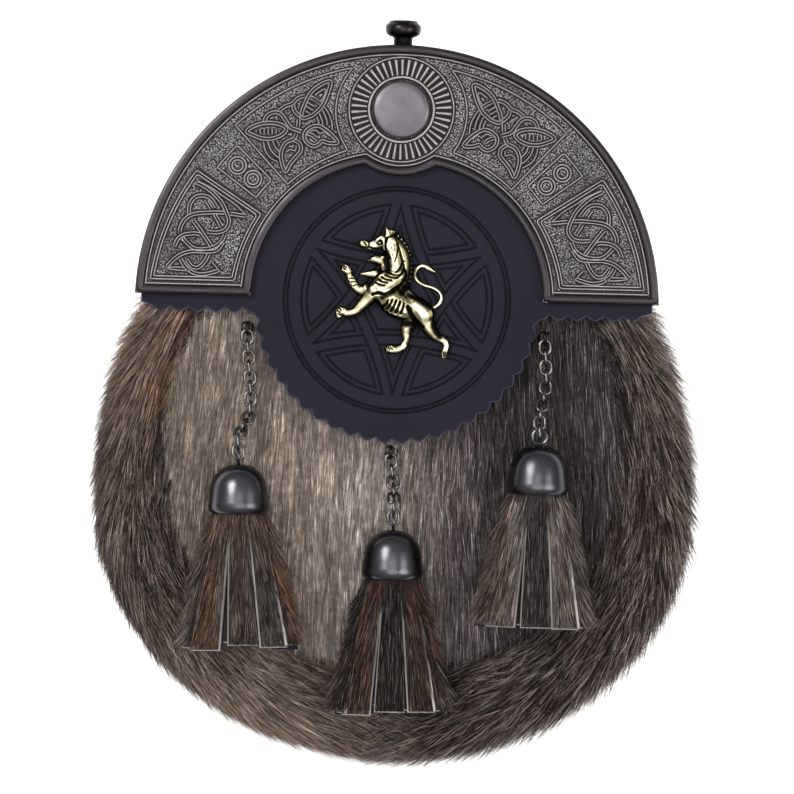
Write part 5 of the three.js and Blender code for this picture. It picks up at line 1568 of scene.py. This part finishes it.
for number, side in enumerate(("left", "middle", "right")):
    pick = np.random.default_rng(40 + number)
    count = tasselSet["strips"]
    angles = np.arange(count) / count * math.tau + 0.18 + pick.normal(0, 0.016, count)
    parts, roots, middles, tips, outs, shades = [], [], [], [], [], []
    for k, angle in enumerate(angles):
        cut = 1 + pick.normal(0, 0.015)
        lean = pick.normal(0.06, 0.05)
        bow = pick.normal(0, 0.6)
        tone = linear(*stripShades[side][k if k < 5 else 9 - k])
        parts.append(stripSolid(angle, cut, lean, bow, tone))
        weight = 1.0 if math.sin(angle) > -0.35 else 0.12
        n = int(tasselSet["hairs"] / count * weight * 1.25)
        d = pick.uniform(-0.06, 0.9, n)
        hw = np.interp(d, [0, 1], tasselSet["half"]) - 0.1
        a = pick.uniform(-1, 1, n) * hw
        step = pick.uniform(*tasselSet["hairLength"], n) / tasselSet["length"]
        d1 = np.minimum(d + step * 0.5, 0.99)
        d2 = np.minimum(d + step, cut * pick.uniform(0.95, 1.022, n))
        hw2 = np.interp(d2, [0, 1], tasselSet["half"])
        stray = 1.5 if abs(math.cos(angle)) > 0.8 else 0.75
        a2 = a * hw2 / hw + pick.normal(0, stray, n)
        a2 = np.clip(a2, -hw2 - 2 * stray + 0.6, hw2 - 0.05 + 1.2 * (d2 < 0.34))
        loft = pick.random(n)
        flare = 1 + 1.5 * abs(math.cos(angle)) ** 6
        roots.append(stripPoint(angle, d, a + bow * d * d, 0.1 + lean * a))
        middles.append(stripPoint(angle, d1, (a + a2) / 2 + bow * d1 * d1,
                                  0.6 + 0.8 * loft * flare + lean * a))
        tips.append(stripPoint(angle, d2, a2 + bow * d2 * d2, 0.5 + 2.3 * loft**1.8 * flare + lean * a2))
        outs.append(stripPoint(angle, d, a, 1.0) - stripPoint(angle, d, a, 0.0))
        lock = slowNoise(a * 2, d * 12, 0.9, 70 + k)
        strand = np.exp(pick.normal(0, 0.46, n) + 0.9 * lock)
        strand[pick.random(n) < tasselSet["darkShare"]] *= tasselSet["darkTone"]
        tone3 = shadesAlong(tone, strand, tasselSet["tones"])
        grey = np.clip(0.5 + 1.2 * slowNoise(a, d * 9, 1.4, 90 + k + number), 0, 1)[:, None, None]
        tone3 = tone3 * (1 - 0.6 * grey) + tone3.mean(2, keepdims=True) * 0.6 * grey
        pale = pick.random(n) < tasselSet["pale"]
        tone3[pale, 2] = linear(*tasselSet["paleTip"])
        shades.append(tone3)
    middleTone = linear(*stripShades[side][2])
    for angle in np.arange(5) / 5 * math.tau + 0.6:
        parts.append(stripSolid(angle, 0.97 + pick.normal(0, 0.01), 0.05, 0.0, middleTone, 0.42))
    n = tasselSet["collar"]
    angle = pick.uniform(-0.5, math.pi + 0.5, n)
    d = pick.uniform(-0.1, 0.04, n)
    step = pick.uniform(0.1, 0.3, n)
    stray = pick.normal(0, 0.7, n)
    roots.append(stripPoint(angle, d, np.zeros(n), np.full(n, 0.3)))
    middles.append(stripPoint(angle, d + step * 0.5, stray * 0.4, pick.uniform(0.8, 1.5, n)))
    tips.append(stripPoint(angle, d + step, stray, pick.uniform(0.5, 1.9, n)))
    outs.append(stripPoint(angle, d, np.zeros(n), np.ones(n)) - roots[-1])
    tone = middleTone * 0.7 + linear(*stripShades[side][0]) * 0.15
    shades.append(shadesAlong(tone, np.exp(pick.normal(0, 0.4, n)), tasselSet["collarTones"]))
    head = turned("head", [
        (0, -9.0), (5.5, -9.2), (7.4, -11), (7.8, -15), (7.2, -19), (4, -22), (0, -23)], 32)
    paintTint(head, np.tile(linear(*tasselSet["core"]), (len(head.data.vertices), 1)))
    paint(head, tasselFur)
    paths = np.concatenate([np.stack([a, b, c], 1) for a, b, c in zip(roots, middles, tips)])
    hair = hairMesh("tasselHair" + side.capitalize(), paths, np.concatenate(outs),
                    pick.uniform(0.7, 1.2, len(paths)) * tasselSet["width"],
                    np.clip(np.concatenate(shades), 0.004, 0.9))
    paint(hair, tasselFur)
    strips = joinPieces("tasselStrips" + side.capitalize(), [head, *parts])
    cleanMesh(strips, 40)
    moved(strips, tasselFrames[side])
    moved(hair, tasselFrames[side])
    for piece in (strips, hair):
        settle(piece, "sporran", "tassel_fur", "tassel_" + side)
print("tassels ready")


# Floor, light and camera

stageSet = {"floor": (0.93, 0.93, 0.93, 1), "floorDim": (0.91, 0.91, 0.91, 1), "glow": 0.5, "horizon": 0.22,
            "zenith": 0.75, "key": 9.0, "fill": 5.0, "top": 6.0}
bpy.ops.mesh.primitive_plane_add(size=8, location=(0, 0, 0))
floor = bpy.context.object
floor.name = "floor"
bpy.ops.object.transform_apply(location=True, rotation=True, scale=True)
floorPaint, floorTree, floorSkin = startMaterial(
    "floorPaint", stageSet["floor"], 0.85, Emission_Strength=stageSet["glow"])
floorSkin.inputs["Emission Color"].default_value = (1, 1, 1, 1)
uneven = mixColour(floorTree, noise(floorTree, 6.0, 2.0), stageSet["floor"], stageSet["floorDim"])
floorTree.links.new(uneven, floorSkin.inputs["Base Color"])
paint(floor, floorPaint)
floor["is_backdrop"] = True

# The sky is bright overhead and dim at the horizon, so that the metal has edges.
world = bpy.data.worlds.new("studio")
bpy.context.scene.world = world
world.use_nodes = True
sky = world.node_tree
overhead = addNode(sky, "ShaderNodeTexCoord").outputs["Generated"]
tall = addNode(sky, "ShaderNodeSeparateXYZ", {"Vector": overhead}).outputs["Z"]
glow = remap(sky, tall, 0.0, 0.8, stageSet["horizon"], stageSet["zenith"])
sky.nodes["Background"].inputs[0].default_value = (1, 1, 1, 1)
sky.links.new(glow, sky.nodes["Background"].inputs[1])


def softbox(name, where, size, power):
    bpy.ops.object.light_add(type="AREA", location=where)
    lamp = bpy.context.object
    lamp.name = name
    lamp.data.shape = "DISK"
    lamp.data.size = size
    lamp.data.energy = power
    lamp.rotation_euler = (Vector((0, 0, 0.03)) - Vector(where)).to_track_quat("-Z", "Y").to_euler()
    lamp.visible_camera = False


softbox("keyLight", (-0.55, 0.45, 0.9), 0.5, stageSet["key"])
softbox("fillLight", (0.7, -0.1, 0.8), 0.6, stageSet["fill"])
softbox("topLight", (0.0, -0.1, 1.3), 0.9, stageSet["top"])

viewSet = {"width": 277.9, "distance": 2500.0, "plane": 41.0, "x": 0.9, "y": -1.2, "roll": 1.4}
camera = bpy.data.cameras.new("camera")
camera.sensor_width = 36
camera.lens = 36 * viewSet["distance"] / viewSet["width"]
camera.clip_end = 20
eye = linked("camera", camera)
eye.location = (viewSet["x"] * mm, viewSet["y"] * mm, (viewSet["plane"] + viewSet["distance"]) * mm)
eye.rotation_euler = (0, 0, math.radians(viewSet["roll"]))
bpy.context.scene.camera = eye

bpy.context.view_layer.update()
total = 0
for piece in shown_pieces():
    if piece.type == "MESH":
        tris = sum(len(p.vertices) - 2 for p in piece.data.polygons)
        total += tris
        print("piece", piece.name, tris)
print("triangles", total)
